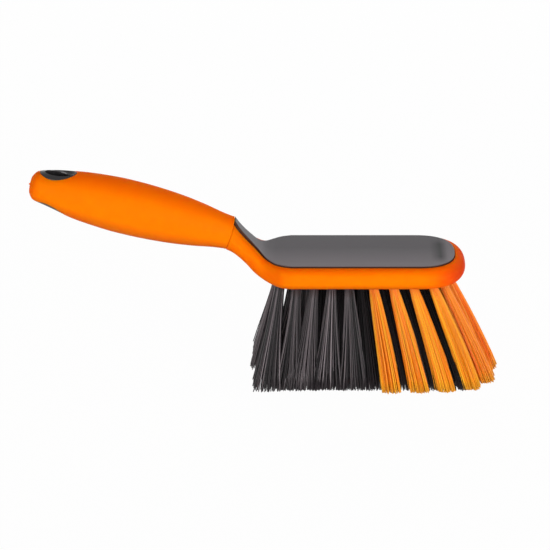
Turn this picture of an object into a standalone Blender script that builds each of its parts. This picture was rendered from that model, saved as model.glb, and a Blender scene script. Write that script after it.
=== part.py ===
"""Hand scrub brush with a two-colour moulded body and 44 flared filament tufts.

The brush stands on its bristle tips at z = 0. Its length runs along X, with the handle end at -X
and the round nose of the head at +X, and its body is symmetric about the plane y = 0.

Pieces: the black core moulding (head block, top panel, neck, hollow handle stem and the collar of
the hanging eye), the orange handle grip and head bumper moulded over it, and the tufts, each with
the metal anchor bar that holds it in its hole.
"""

import math

import bmesh
import bpy
from mathutils import Vector, geometry

# Gaps
CLEARANCE = 0.0003
SEAM_GAP = 0.0003
OVERRUN = 0.002

# Head
BRISTLE_LENGTH = 0.0612
HEAD_THICKNESS = 0.0146
BASE_PROUD = 0.0003
HEAD_HALF_WIDTH = 0.030
HEAD_STRAIGHT = 0.0738
NOSE_STEPS = 16
NOSE_FULLNESS = 2.5

# Top panel of the core, exposed between the two sides of the bumper
RIM_TOP_WIDTH = 0.0064
PANEL_HALF_WIDTH = HEAD_HALF_WIDTH - RIM_TOP_WIDTH
PANEL_TIP_HALF_WIDTH = 0.0032
PANEL_PROUD = 0.0010
PANEL_NECK_PROUD = 0.0018
PANEL_EDGE_RADIUS = 0.0006
PANEL_END_SLOPE = 0.0003

# Core block inside the bumper: a locking flange, and below it the base that holds the tufts
FLANGE_REACH = 0.0027
FLANGE_HALF_HEIGHT = 0.0015
BASE_OVERHANG = 0.0015

# Neck, from the head up to the seam with the grip
NECK_RUN = 0.0396
NECK_RISE = 0.0210
SEAM_STEP = 0.00025

# Handle
HANDLE_LENGTH = 0.1232
HANDLE_TIP_TILT = math.radians(13.0)
HANDLE_SAG = 0.0005
HANDLE_RADIUS = 0.0164
HANDLE_WIDTH_SHARE = 0.96
HANDLE_SIDES = 20
GRIP_WALL = 0.0025
GRIP_END_WALL = 0.003
GATE_RADIUS = 0.0006
GATE_LENGTH = 0.0005

# Hollow of the handle stem, with the hole left by the gas pin
STEM_WALL = 0.003
HOLLOW_START_SHARE = 0.265
HOLLOW_END_SHARE = 0.93
HOLLOW_SIDES = 12
HOLLOW_STATIONS = 9
PIN_HOLE_RADIUS = 0.0015
PIN_HOLE_SHARE = 0.80

# Hanging eye: an oval collar of the core through the grip, with a slot whose mouths are scooped
EYE_SHARE = 0.130
COLLAR_HALF_LENGTH = 0.0104
COLLAR_HALF_WIDTH = 0.0066
COLLAR_DRAFT = 0.0012
COLLAR_SINK = 0.0005
SLOT_HALF_LENGTH = 0.0076
SLOT_HALF_WIDTH = 0.0042
SCOOP_DEPTH = 0.0035
SCOOP_FLARE = 0.0018
EYE_SIDES = 24

# Tufts: the middle row of holes on the centre plane, and two rows on each side of it. The wall is
# left between the outermost holes and the side of the base, and the roof under the flange's top.
HOLE_RADIUS = 0.0027
HOLE_WALL = 0.0025
HOLE_ROOF = 0.00075
HOLE_REACH = PANEL_HALF_WIDTH + BASE_OVERHANG - HOLE_WALL - HOLE_RADIUS
HOLE_DEPTH = (HEAD_THICKNESS + BASE_PROUD) / 2 + FLANGE_HALF_HEIGHT - HOLE_ROOF
HOLE_SIDES = 8
ROW_PITCH = HOLE_REACH / 2
ORANGE_COUNTS = {0: 1, 1: 1, 2: 4}
ANCHOR_HALF_LENGTH = 0.0018
ANCHOR_HALF_WIDTH = 0.0004
ANCHOR_HEIGHT = 0.0012

# Strands of a tuft, each one standing for a lock of filaments that opens towards the floor
STRANDS_ROUND = 7
STRAND_SIDES = 3
STRAND_ROOT_RING = 0.00155
STRAND_ROOT_RADIUS = 0.0005
BLACK_TIP_RING = 0.0057
ORANGE_TIP_RING = 0.0049
STRAND_TIP_RADIUS = 0.00145
TUFT_TURN = math.radians(137.5)
BEND_HEIGHT_SHARE = 0.50
BEND_SPREAD_SHARE = 0.62
SPREAD_REACH = 0.0265
SPREAD_FALL = 0.045
SPREAD_NEUTRAL = -0.0455
REAR_SPLAYS = (0.0075, 0.008, 0)
FRONT_SPLAYS = (0, 0.002, 0)
BLACK_SIDE_SPREAD_SHARE = 0.58
ORANGE_SIDE_SPREAD_SHARE = 0.70

# Ribs of the neck, from the seam to the head: run and rise of the top line, run and rise of the
# bottom line, then widening of the body and of the panel, all as shares of the named sizes
NECK_RIB_SHARES = (
    (0.848, 1.000, 0.992, 0.775, 0.000, 0.000),
    (0.780, 0.800, 0.886, 0.720, 0.054, 0.045),
    (0.697, 0.605, 0.780, 0.595, 0.112, 0.074),
    (0.606, 0.420, 0.674, 0.430, 0.195, 0.120),
    (0.500, 0.215, 0.561, 0.245, 0.340, 0.208),
    (0.394, 0.060, 0.439, 0.115, 0.512, 0.413),
    (0.273, 0.003, 0.303, 0.035, 0.741, 0.707),
    (0.152, 0.000, 0.152, 0.000, 0.922, 0.908),
    (0.000, 0.000, 0.000, 0.000, 1.000, 1.000),
)
RIB_STEPS = 2
BLOCK_BLEND_SHARE = 0.6

# Places of the tuft holes along the head, from the rear: the middle row, then the rows beside it,
# then the outer rows. Those below zero are shares of the straight length, and those above zero
# are in the nose, as shares of the reach of its holes.
HOLE_ROW_SHARES = (
    (-1.100, -0.930, -0.805, -0.678, -0.537, -0.382, -0.222, -0.062, 0.363, 0.938),
    (-1.084, -0.889, -0.748, -0.607, -0.440, -0.279, -0.119, 0.152, 0.753),
    (-0.959, -0.818, -0.677, -0.537, -0.344, -0.184, -0.024, 0.504),
)

# Outline of the handle from its tip to the seam: place along it and radius
HANDLE_OUTLINE_SHARES = (
    (0.000, 0.100),
    (0.004, 0.190),
    (0.012, 0.300),
    (0.030, 0.465),
    (0.058, 0.585),
    (0.091, 0.668),
    (0.125, 0.727),
    (0.160, 0.775),
    (0.209, 0.833),
    (0.258, 0.888),
    (0.307, 0.928),
    (0.356, 0.960),
    (0.405, 0.984),
    (0.455, 1.000),
    (0.553, 0.995),
    (0.651, 0.960),
    (0.749, 0.895),
    (0.848, 0.790),
    (0.897, 0.720),
    (0.946, 0.655),
)
STEM_STATION_SHARES = (0.06, 0.10, 0.16, 0.22, 0.30, 0.38, 0.46, 0.56, 0.66, 0.76, 0.86, 0.94)
STEM_POINT_DEGREES = (90, 80, 71, 60, 30, -6, -34, -62, -90)

# Looks
BLACK_PLASTIC = ("black_plastic", (0.020, 0.018, 0.019), 0.42)
ORANGE_RUBBER = ("orange_soft_plastic", (0.900, 0.180, 0.004), 0.55)
BLACK_FILAMENT = ("black_filament", (0.012, 0.010, 0.011), 0.45)
ORANGE_FILAMENT = ("orange_filament", (0.900, 0.250, 0.020), 0.50)
SMOOTH_ANGLE = math.radians(38)

BASE_Z = BRISTLE_LENGTH
BUMPER_BOTTOM_Z = BASE_Z + BASE_PROUD
PANEL_Z = BASE_Z + HEAD_THICKNESS


class Rib:
    """One cross section of the head and neck: its middle, its up direction and its sizes."""

    def __init__(self, top, bottom, half_width, panel, proud, blend):
        self.centre = (top + bottom) / 2
        self.half_height = (top - bottom).length / 2
        self.up = (top - bottom).normalized()
        self.half_width = half_width
        self.panel = panel
        self.proud = proud
        self.blend = blend

    def place(self, across, upward):
        """Return the point at this distance across and up from the middle of the section."""
        return self.centre + self.up * upward + Vector((0, across, 0))

    def forward(self):
        """Return the direction of the body's length at this section, towards the nose."""
        return Vector((self.up.z, 0, -self.up.x))

    def shifted(self, distance):
        """Return a copy of this section moved along the body's length."""
        move = self.forward() * distance
        top = self.centre + self.up * self.half_height + move
        bottom = self.centre - self.up * self.half_height + move
        return Rib(top, bottom, self.half_width, self.panel, self.proud, self.blend)


def curve_through(rows, steps):
    """Return rows of numbers on a smooth curve through the given rows, with the ends kept."""
    smooth = []
    for index in range(len(rows) - 1):
        before = rows[max(index - 1, 0)]
        start = rows[index]
        end = rows[index + 1]
        after = rows[min(index + 2, len(rows) - 1)]
        for step in range(steps):
            t = step / steps
            smooth.append(
                tuple(
                    b
                    + t * (c - a) / 2
                    + t * t * (2 * a - 5 * b + 4 * c - d) / 2
                    + t * t * t * (3 * b - a - 3 * c + d) / 2
                    for a, b, c, d in zip(before, start, end, after)
                )
            )
    smooth.append(rows[-1])
    return smooth


def neck_line(top_run, top_rise, low_run, low_rise):
    """Return the top and bottom points of one section of the neck."""
    top = Vector((-HEAD_STRAIGHT - NECK_RUN * top_run, 0, PANEL_Z + NECK_RISE * top_rise))
    low = Vector((-HEAD_STRAIGHT - NECK_RUN * low_run, 0, BUMPER_BOTTOM_Z + NECK_RISE * low_rise))
    return top, low


def neck_and_head_ribs():
    """Return the sections from the seam down the neck and along the head to the nose centre."""
    ribs = []
    top, low = neck_line(*NECK_RIB_SHARES[0][:4])
    seam_half_width = (top - low).length / 2 * HANDLE_WIDTH_SHARE
    for *line, widening, panel_share in curve_through(NECK_RIB_SHARES, RIB_STEPS):
        top, low = neck_line(*line)
        half_width = seam_half_width + (HEAD_HALF_WIDTH - seam_half_width) * widening
        panel = PANEL_TIP_HALF_WIDTH + (PANEL_HALF_WIDTH - PANEL_TIP_HALF_WIDTH) * panel_share
        blend = min(1, widening / BLOCK_BLEND_SHARE)
        proud = PANEL_NECK_PROUD + (PANEL_PROUD - PANEL_NECK_PROUD) * blend
        ribs.append(Rib(top, low, half_width, panel, proud, blend))
    top = Vector((0, 0, PANEL_Z))
    low = Vector((0, 0, BUMPER_BOTTOM_Z))
    ribs.append(Rib(top, low, HEAD_HALF_WIDTH, PANEL_HALF_WIDTH, PANEL_PROUD, 1))
    return ribs


def handle_frame(share):
    """Return the middle, up direction and outward axis of the handle at this share from its tip."""
    seam = neck_and_head_ribs()[0]
    seam_tilt = math.atan2(seam.up.x, seam.up.z)
    back = 1 - share
    tilt = seam_tilt + (HANDLE_TIP_TILT - seam_tilt) * back
    chord = (seam_tilt + tilt) / 2
    up = Vector((math.sin(tilt), 0, math.cos(tilt)))
    out = Vector((-math.cos(tilt), 0, math.sin(tilt)))
    run = Vector((-math.cos(chord), 0, math.sin(chord))) * HANDLE_LENGTH * back
    sag = up * HANDLE_SAG * math.sin(math.pi * share)
    return seam.centre + run - sag, up, out


def seam_radius():
    """Return the half height of the body at the seam between grip and neck."""
    return neck_and_head_ribs()[0].half_height


def handle_radius(share):
    """Return the half height of the grip at this share of its length from the tip."""
    outline = [(along, HANDLE_RADIUS * radius) for along, radius in HANDLE_OUTLINE_SHARES]
    outline.append((1, seam_radius()))
    for (start, first), (end, second) in zip(outline, outline[1:]):
        if share <= end:
            return first + (second - first) * (share - start) / (end - start)
    return outline[-1][1]


def oval_ring(centre, up, half_height, half_width, sides):
    """Return the points of an oval section square to the handle."""
    ring = []
    for index in range(sides):
        angle = 2 * math.pi * index / sides
        across = Vector((0, half_width * math.cos(angle), 0))
        ring.append(centre + across + up * half_height * math.sin(angle))
    return ring


def new_mesh_object(name, bm, look=None):
    """Make an object from the mesh data, smooth where its faces meet at a small angle."""
    bmesh.ops.recalc_face_normals(bm, faces=bm.faces)
    mesh = bpy.data.meshes.new(name)
    bm.to_mesh(mesh)
    bm.free()
    mesh.shade_smooth()
    mesh.set_sharp_from_angle(angle=SMOOTH_ANGLE)
    item = bpy.data.objects.new(name, mesh)
    bpy.context.collection.objects.link(item)
    if look:
        mesh.materials.append(finish(*look))
    return item


def finish(name, colour, roughness):
    """Return the named material, made once."""
    material = bpy.data.materials.get(name)
    if material:
        return material
    material = bpy.data.materials.new(name)
    material.use_nodes = True
    shader = material.node_tree.nodes["Principled BSDF"]
    shader.inputs["Base Color"].default_value = (*colour, 1)
    shader.inputs["Roughness"].default_value = roughness
    shader.inputs["Metallic"].default_value = 0
    material.diffuse_color = (*colour, 1)
    return material


def as_cutter(item):
    """Keep the object as a guide that only shapes others."""
    item.hide_render = True
    item.display_type = "WIRE"
    return item


def combine(item, other, operation):
    """Add a Boolean of the given kind to the object."""
    modifier = item.modifiers.new(other.name, "BOOLEAN")
    modifier.operation = operation
    modifier.solver = "EXACT"
    modifier.object = as_cutter(other)


def loft(name, rings, look=None):
    """Skin a row of closed sections with equal point counts and close both ends."""
    bm = bmesh.new()
    columns = [[bm.verts.new(point) for point in ring] for ring in rings]
    for first, second in zip(columns, columns[1:]):
        for index in range(len(first)):
            following = (index + 1) % len(first)
            bm.faces.new((first[index], first[following], second[following], second[index]))
    bm.faces.new(columns[0])
    bm.faces.new(list(reversed(columns[-1])))
    return new_mesh_object(name, bm, look)


def nose_direction(angle):
    """Return the unit outline of the nose, a little fuller than a half circle."""
    power = 2 / NOSE_FULLNESS
    across = math.copysign(abs(math.cos(angle)) ** power, math.cos(angle))
    return math.sin(angle) ** power, across


def spoon(name, half_sections, look=None):
    """Skin mirrored half sections and turn the last one half round into the nose."""
    bm = bmesh.new()
    rings = []
    for half in half_sections:
        mirrored = [Vector((point.x, -point.y, point.z)) for point in reversed(half[1:-1])]
        rings.append([bm.verts.new(point) for point in [*half, *mirrored]])
    for first, second in zip(rings, rings[1:]):
        for index in range(len(first)):
            following = (index + 1) % len(first)
            bm.faces.new((first[index], first[following], second[following]))
            bm.faces.new((first[index], second[following], second[index]))
    bm.faces.new(rings[0])
    half = half_sections[-1]
    last = len(half) - 1
    columns = [rings[-1][: last + 1]]
    for step in range(1, NOSE_STEPS):
        angle = math.pi * step / NOSE_STEPS
        column = [columns[0][0]]
        for point in half[1:-1]:
            along, across = nose_direction(angle)
            place = Vector((point.y * along, point.y * across, point.z))
            column.append(bm.verts.new(place))
        column.append(columns[0][last])
        columns.append(column)
    columns.append([rings[-1][0], *reversed(rings[-1][last + 1 :]), rings[-1][last]])
    for first, second in zip(columns, columns[1:]):
        bm.faces.new((first[0], first[1], second[1]))
        for index in range(1, last - 1):
            bm.faces.new((first[index], first[index + 1], second[index + 1], second[index]))
        bm.faces.new((first[last - 1], first[last], second[last - 1]))
    return new_mesh_object(name, bm, look)


def bumper_half_section(rib):
    """Return the outer outline of the bumper: flat above and below with a half round side."""
    radius = rib.half_height - rib.proud / 2
    middle = -rib.proud / 2
    half = [rib.place(0, middle + radius)]
    arc_steps = 10
    for step in range(arc_steps + 1):
        angle = math.pi * (1 / 2 - step / arc_steps)
        across = rib.half_width - radius + radius * math.cos(angle)
        half.append(rib.place(across, middle + radius * math.sin(angle)))
    half.append(rib.place(0, middle - radius))
    return half


def block_half_section(rib, grow, over):
    """Return the outline of the core inside the bumper, from the round stem to the head block."""
    side = rib.panel + grow
    top = rib.half_height + over
    flange = rib.panel + FLANGE_REACH + grow
    shelf = FLANGE_HALF_HEIGHT + grow
    base_side = rib.panel + BASE_OVERHANG + grow
    base = -rib.half_height - BASE_PROUD - grow
    inset = GRIP_WALL + CLEARANCE - grow
    round_width = rib.half_width - inset
    round_height = rib.half_height - inset
    shoulder = round_height * math.sqrt(1 - (side / round_width) ** 2)
    block = [(side, shelf), (flange, shelf), (flange, -shelf), (base_side, -shelf)]
    block.extend([(base_side, base), (0, base)])
    stem = [(side, shoulder)]
    for degrees in STEM_POINT_DEGREES[4:-1]:
        angle = math.radians(degrees)
        stem.append((round_width * math.cos(angle), round_height * math.sin(angle)))
    stem.append((0, -round_height))
    half = [
        rib.place(0, top),
        rib.place(side - PANEL_EDGE_RADIUS, top),
        rib.place(side, top - PANEL_EDGE_RADIUS),
    ]
    for (across, upward), (round_across, round_upward) in zip(block, stem):
        half.append(
            rib.place(
                round_across + (across - round_across) * rib.blend,
                round_upward + (upward - round_upward) * rib.blend,
            )
        )
    return half


def stem_half_section(share, grow, beyond=0):
    """Return the round outline of the core inside the grip."""
    centre, up, out = handle_frame(share)
    inset = GRIP_WALL + CLEARANCE - grow
    half_height = handle_radius(share) - inset
    half_width = handle_radius(share) * HANDLE_WIDTH_SHARE - inset
    half = []
    for degrees in STEM_POINT_DEGREES:
        angle = math.radians(degrees)
        across = 0 if abs(degrees) == 90 else half_width * math.cos(angle)
        place = centre - out * beyond + Vector((0, across, 0))
        half.append(place + up * half_height * math.sin(angle))
    return half


def stem_sections(grow):
    """Return the outlines of the handle stem from its end wall to the seam."""
    first = (GRIP_END_WALL - grow) / HANDLE_LENGTH
    return [stem_half_section(share, grow) for share in (first, *STEM_STATION_SHARES)]


def core_body(name, grow, over, panel_start, look=None):
    """Build the core in one skin: handle stem, neck with its panel, and head block."""
    sections = stem_sections(grow)
    sections.append(stem_half_section(1, grow, panel_start))
    ribs = neck_and_head_ribs()
    ribs[0] = ribs[0].shifted(panel_start + PANEL_END_SLOPE)
    sections.extend(block_half_section(rib, grow, over) for rib in ribs)
    return spoon(name, sections, look)


def stem_space(name):
    """Build the room that the grip leaves for the stem, open at the seam."""
    halves = stem_sections(CLEARANCE)
    halves.append(stem_half_section(1, CLEARANCE, OVERRUN))
    rings = []
    for half in halves:
        mirrored = [Vector((point.x, -point.y, point.z)) for point in reversed(half[1:-1])]
        rings.append([*half, *mirrored])
    return loft(name, rings)


def handle_outer(name, offset, look=None):
    """Build the outer shape of the handle, with the small gate mark at its tip."""
    rings = []
    centre, up, out = handle_frame(0)
    for distance in (GATE_LENGTH, 0):
        place = centre + out * distance
        rings.append(oval_ring(place, up, GATE_RADIUS, GATE_RADIUS, HANDLE_SIDES))
    for share, _ in HANDLE_OUTLINE_SHARES:
        radius = handle_radius(share) + offset
        centre, up, _ = handle_frame(share)
        width = radius * HANDLE_WIDTH_SHARE
        rings.append(oval_ring(centre, up, radius, width, HANDLE_SIDES))
    centre, up, out = handle_frame(1)
    centre += out * SEAM_GAP / 2
    radius = seam_radius() + SEAM_STEP + offset
    width = radius * HANDLE_WIDTH_SHARE
    rings.append(oval_ring(centre, up, radius, width, HANDLE_SIDES))
    return loft(name, rings, look)


def eye_ring(height, half_length, half_width):
    """Return an oval round the axis of the hanging eye, at this height along that axis."""
    centre, up, out = handle_frame(EYE_SHARE)
    ring = []
    for index in range(EYE_SIDES):
        angle = 2 * math.pi * (index + 1 / 2) / EYE_SIDES
        along = -out * half_length * math.cos(angle)
        across = Vector((0, half_width * math.sin(angle), 0))
        ring.append(centre + up * height + along + across)
    return ring


def eye_prism(name, grow):
    """Build the oval prism of the collar, wider below and longer than the handle is high."""
    reach = handle_radius(EYE_SHARE) + OVERRUN
    upper = (COLLAR_HALF_LENGTH + grow, COLLAR_HALF_WIDTH + grow)
    lower = (upper[0] + COLLAR_DRAFT, upper[1] + COLLAR_DRAFT)
    return loft(name, [eye_ring(-reach, *lower), eye_ring(reach, *upper)])


def eye_slot(name):
    """Build the slot through the collar, opening into a scoop at both mouths."""
    surface = handle_radius(EYE_SHARE) - COLLAR_SINK
    slope = SCOOP_FLARE / SCOOP_DEPTH
    far = surface + OVERRUN
    wide = SCOOP_FLARE + slope * OVERRUN
    narrow = (SLOT_HALF_LENGTH, SLOT_HALF_WIDTH)
    mouth = (SLOT_HALF_LENGTH + wide, SLOT_HALF_WIDTH + wide)
    neck = surface - SCOOP_DEPTH
    rings = [
        eye_ring(-far, *mouth),
        eye_ring(-neck, *narrow),
        eye_ring(neck, *narrow),
        eye_ring(far, *mouth),
    ]
    return loft(name, rings)


def stem_hollow(name):
    """Build the hollow inside the handle stem, drawn in at both ends."""
    span = HOLLOW_END_SHARE - HOLLOW_START_SHARE
    rings = []
    for index in range(HOLLOW_STATIONS):
        t = index / (HOLLOW_STATIONS - 1)
        share = HOLLOW_START_SHARE + span * t
        centre, up, _ = handle_frame(share)
        inset = GRIP_WALL + CLEARANCE + STEM_WALL
        close = 1 / 2 if index in (0, HOLLOW_STATIONS - 1) else 1
        height = (handle_radius(share) - inset) * close
        width = (handle_radius(share) * HANDLE_WIDTH_SHARE - inset) * close
        rings.append(oval_ring(centre, up, height, width, HOLLOW_SIDES))
    return loft(name, rings)


def pin_hole(name):
    """Build the gas pin's hole from the hollow out through the underside of the stem."""
    centre, up, out = handle_frame(PIN_HOLE_SHARE)
    reach = handle_radius(PIN_HOLE_SHARE)
    rings = []
    for depth in (0, reach):
        ring = []
        for index in range(HOLE_SIDES):
            angle = 2 * math.pi * index / HOLE_SIDES
            along = out * PIN_HOLE_RADIUS * math.cos(angle)
            across = Vector((0, PIN_HOLE_RADIUS * math.sin(angle), 0))
            ring.append(centre - up * depth + along + across)
        rings.append(ring)
    return loft(name, rings)


def tuft_places():
    """Return each tuft as its row, number from the rear, place, colour choice and splay."""
    places = []
    for row in range(-2, 3):
        kind = abs(row)
        shares = HOLE_ROW_SHARES[kind]
        for number, share in enumerate(shares):
            along = share * (HOLE_REACH if share > 0 else HEAD_STRAIGHT)
            place = Vector((along, ROW_PITCH * row, BASE_Z))
            orange = number >= len(shares) - ORANGE_COUNTS[kind]
            front = 2 * number / (len(shares) - 1) - 1
            splay = (FRONT_SPLAYS if front > 0 else REAR_SPLAYS)[kind] * front**4
            places.append((row, number + 1, place, orange, splay))
    return places


def tuft_holes(name):
    """Build all the tuft holes as one set of eight-sided pegs."""
    bm = bmesh.new()
    for _, _, place, _, _ in tuft_places():
        low = [place + point - Vector((0, 0, OVERRUN)) for point in hole_outline(HOLE_RADIUS)]
        high = [place + point + Vector((0, 0, HOLE_DEPTH)) for point in hole_outline(HOLE_RADIUS)]
        low_verts = [bm.verts.new(point) for point in low]
        high_verts = [bm.verts.new(point) for point in high]
        for index in range(HOLE_SIDES):
            following = (index + 1) % HOLE_SIDES
            bm.faces.new(
                (low_verts[index], low_verts[following], high_verts[following], high_verts[index])
            )
        bm.faces.new(list(reversed(low_verts)))
        bm.faces.new(high_verts)
    return new_mesh_object(name, bm)


def hole_outline(radius):
    """Return the corners of a tuft hole or plug about its middle."""
    corners = []
    for index in range(HOLE_SIDES):
        angle = 2 * math.pi * (index + 1 / 2) / HOLE_SIDES
        corners.append(Vector((radius * math.cos(angle), radius * math.sin(angle), 0)))
    return corners


def make_core():
    """Build the black core moulding."""
    core = core_body("core_moulding", 0, 0, SEAM_GAP / 2, BLACK_PLASTIC)
    collar = eye_prism("collar_shape", 0)
    combine(collar, handle_outer("collar_limit", -COLLAR_SINK), "INTERSECT")
    combine(core, collar, "UNION")
    combine(core, eye_slot("slot_shape"), "DIFFERENCE")
    combine(core, stem_hollow("hollow_shape"), "DIFFERENCE")
    combine(core, pin_hole("pin_shape"), "DIFFERENCE")
    combine(core, tuft_holes("tuft_holes_shape"), "DIFFERENCE")
    return core


def make_grip():
    """Build the orange grip over the handle stem, with the oval opening for the collar."""
    grip = handle_outer("handle_grip", 0, ORANGE_RUBBER)
    combine(grip, stem_space("stem_space"), "DIFFERENCE")
    combine(grip, eye_prism("collar_space", CLEARANCE), "DIFFERENCE")
    return grip


def make_bumper():
    """Build the orange bumper: a sleeve round the neck that runs on as the rim of the head."""
    ribs = neck_and_head_ribs()
    ribs[0] = ribs[0].shifted(SEAM_GAP / 2)
    bumper = spoon("head_bumper", [bumper_half_section(rib) for rib in ribs], ORANGE_RUBBER)
    core_space = core_body("core_space", CLEARANCE, OVERRUN, -SEAM_GAP / 2 - PANEL_END_SLOPE)
    combine(bumper, core_space, "DIFFERENCE")
    return bumper


def peg_roots(turn):
    """Return the root sections of the strands as unit triangles about the tuft's middle."""
    roots = [Vector((0, 0, 0))]
    for index in range(STRANDS_ROUND):
        angle = turn + 2 * math.pi * index / STRANDS_ROUND
        roots.append(Vector((math.cos(angle), math.sin(angle), 0)))
    return roots


def section_corners(middle, radius, turn):
    """Return the corners of one strand's section."""
    corners = []
    for index in range(STRAND_SIDES):
        angle = turn + 2 * math.pi * index / STRAND_SIDES
        corners.append(middle + Vector((radius * math.cos(angle), radius * math.sin(angle), 0)))
    return corners


def capped_plate(bm, rim, loops):
    """Fill the rim with triangles round the loops and leave the loops open."""
    verts = list(rim)
    edges = [(index, (index + 1) % len(rim)) for index in range(len(rim))]
    owner = [None] * len(rim)
    for number, loop in enumerate(loops):
        start = len(verts)
        verts.extend(loop)
        owner.extend([number] * len(loop))
        edges.extend(
            (start + index, start + (index + 1) % len(loop)) for index in range(len(loop))
        )
    size = rim[0].co.xy.length
    flat = [vert.co.xy / size for vert in verts]
    result = geometry.delaunay_2d_cdt(flat, edges, [], 0, 1e-6)
    origins = result[3]
    for face in result[2]:
        corners = [origins[index][0] for index in face]
        owners = {owner[index] for index in corners}
        if len(owners) == 1 and None not in owners:
            continue
        bm.faces.new([verts[index] for index in corners])


def tuft_mesh_object(name, place, orange, splay, turn):
    """Build one tuft: the plug in its hole, the anchor bar on it and the strands below."""
    bm = bmesh.new()
    plug = hole_outline(HOLE_RADIUS - CLEARANCE)
    plug_top = HOLE_DEPTH - CLEARANCE - ANCHOR_HEIGHT
    low_rim = [bm.verts.new(point) for point in plug]
    high_rim = [bm.verts.new(point + Vector((0, 0, plug_top))) for point in plug]
    for index in range(HOLE_SIDES):
        following = (index + 1) % HOLE_SIDES
        bm.faces.new((low_rim[index], low_rim[following], high_rim[following], high_rim[index]))
    bar = [
        Vector((x * ANCHOR_HALF_LENGTH, y * ANCHOR_HALF_WIDTH, plug_top))
        for x, y in ((1, 1), (-1, 1), (-1, -1), (1, -1))
    ]
    bar_low = [bm.verts.new(point) for point in bar]
    bar_high = [bm.verts.new(point + Vector((0, 0, ANCHOR_HEIGHT))) for point in bar]
    for index in range(len(bar)):
        following = (index + 1) % len(bar)
        bm.faces.new((bar_low[index], bar_low[following], bar_high[following], bar_high[index]))
    bm.faces.new(bar_high)
    capped_plate(bm, high_rim, [bar_low])
    loops = []
    for number, unit in enumerate(peg_roots(turn)):
        corners = strand_rings(unit, place, orange, splay, turn + number)
        rings = [[bm.verts.new(point) for point in ring] for ring in corners]
        for first, second in zip(rings, rings[1:]):
            for index in range(STRAND_SIDES):
                following = (index + 1) % STRAND_SIDES
                bm.faces.new((first[index], first[following], second[following], second[index]))
        bm.faces.new(rings[-1])
        loops.append(rings[0])
    capped_plate(bm, low_rim, loops)
    tuft = new_mesh_object(name, bm, ORANGE_FILAMENT if orange else BLACK_FILAMENT)
    tuft.location = place
    return tuft


def strand_rings(unit, place, orange, splay, turn):
    """Return the sections of one strand from its root to its flat tip on the floor."""
    side_share = ORANGE_SIDE_SPREAD_SHARE if orange else BLACK_SIDE_SPREAD_SHARE
    spread = Vector(
        (
            SPREAD_REACH * math.tanh((place.x - SPREAD_NEUTRAL) / SPREAD_FALL) + splay,
            side_share * place.y,
            0,
        )
    )
    tip_ring = ORANGE_TIP_RING if orange else BLACK_TIP_RING
    rings = []
    for depth, opening in ((0, 0), (BEND_HEIGHT_SHARE, BEND_SPREAD_SHARE), (1, 1)):
        ring = STRAND_ROOT_RING + (tip_ring - STRAND_ROOT_RING) * opening
        radius = STRAND_ROOT_RADIUS + (STRAND_TIP_RADIUS - STRAND_ROOT_RADIUS) * opening
        middle = unit * ring + spread * opening - Vector((0, 0, BRISTLE_LENGTH * depth))
        rings.append(section_corners(middle, radius, turn))
    return rings


def make_tufts():
    """Build every tuft, black at the rear and orange at the front."""
    tufts = []
    for index, (row, number, place, orange, splay) in enumerate(tuft_places()):
        colour = "orange" if orange else "black"
        name = f"{colour}_tuft_row{row + 3}_{number:02d}"
        tufts.append(tuft_mesh_object(name, place, orange, splay, TUFT_TURN * index))
    return tufts


def tip_reach(tufts):
    """Return how far the front strands and the handle tip reach along the length."""
    front = max(
        (tuft.location + vertex.co).x for tuft in tufts for vertex in tuft.data.vertices
    )
    centre, _, out = handle_frame(0)
    return (centre + out * GATE_LENGTH).x, front


def main():
    """Clear the scene, build the brush and put the origin under the middle of its length."""
    for item in list(bpy.data.objects):
        bpy.data.objects.remove(item, do_unlink=True)
    make_core()
    make_grip()
    make_bumper()
    tufts = make_tufts()
    rear, front = tip_reach(tufts)
    base = bpy.data.objects.new("brush_frame", None)
    bpy.context.collection.objects.link(base)
    for item in bpy.data.objects:
        if item is not base:
            item.parent = base
    base.location.x = -(rear + front) / 2
    bpy.context.view_layer.update()


main()
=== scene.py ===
"""Looks of a hand scrub brush: a two-colour moulded body with 44 flared filament tufts.

The brush stands on its bristle tips at z = 0 with its length along X: the hanging eye of the
handle is at -X and the round nose of the head at +X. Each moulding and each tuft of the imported
part is replaced by a finer piece of the same form, with its own finish. Sizes are in metres.
"""

import logging
import math
import random
from dataclasses import dataclass, replace
from enum import Enum

import bmesh
import bpy
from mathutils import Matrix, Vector


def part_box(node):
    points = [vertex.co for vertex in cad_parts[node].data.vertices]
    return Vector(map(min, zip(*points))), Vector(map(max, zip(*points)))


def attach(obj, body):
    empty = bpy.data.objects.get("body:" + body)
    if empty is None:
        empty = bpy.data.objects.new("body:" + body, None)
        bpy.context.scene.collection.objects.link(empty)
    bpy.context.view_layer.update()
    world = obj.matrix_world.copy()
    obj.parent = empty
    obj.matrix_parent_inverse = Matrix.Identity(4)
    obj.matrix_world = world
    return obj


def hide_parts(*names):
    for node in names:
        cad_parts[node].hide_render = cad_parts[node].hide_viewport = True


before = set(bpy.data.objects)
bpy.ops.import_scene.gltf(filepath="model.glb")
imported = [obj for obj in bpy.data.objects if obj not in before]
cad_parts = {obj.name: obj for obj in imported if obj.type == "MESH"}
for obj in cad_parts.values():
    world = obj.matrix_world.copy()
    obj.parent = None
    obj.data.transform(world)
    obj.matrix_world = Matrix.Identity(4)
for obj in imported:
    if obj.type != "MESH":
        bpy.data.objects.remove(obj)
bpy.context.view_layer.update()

MM = 0.001
BODY = "root"

log = logging.getLogger("brush")

Socket = bpy.types.NodeSocket
Ring = list[Vector]
Pair = tuple[float, float]
Triple = tuple[float, float, float]
Colour = tuple[float, float, float]
Range = tuple[float, float, float, float]


class Operation(Enum):
    """How one solid changes another."""

    ADD = "UNION"
    CUT = "DIFFERENCE"
    KEEP_SHARED = "INTERSECT"


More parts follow.
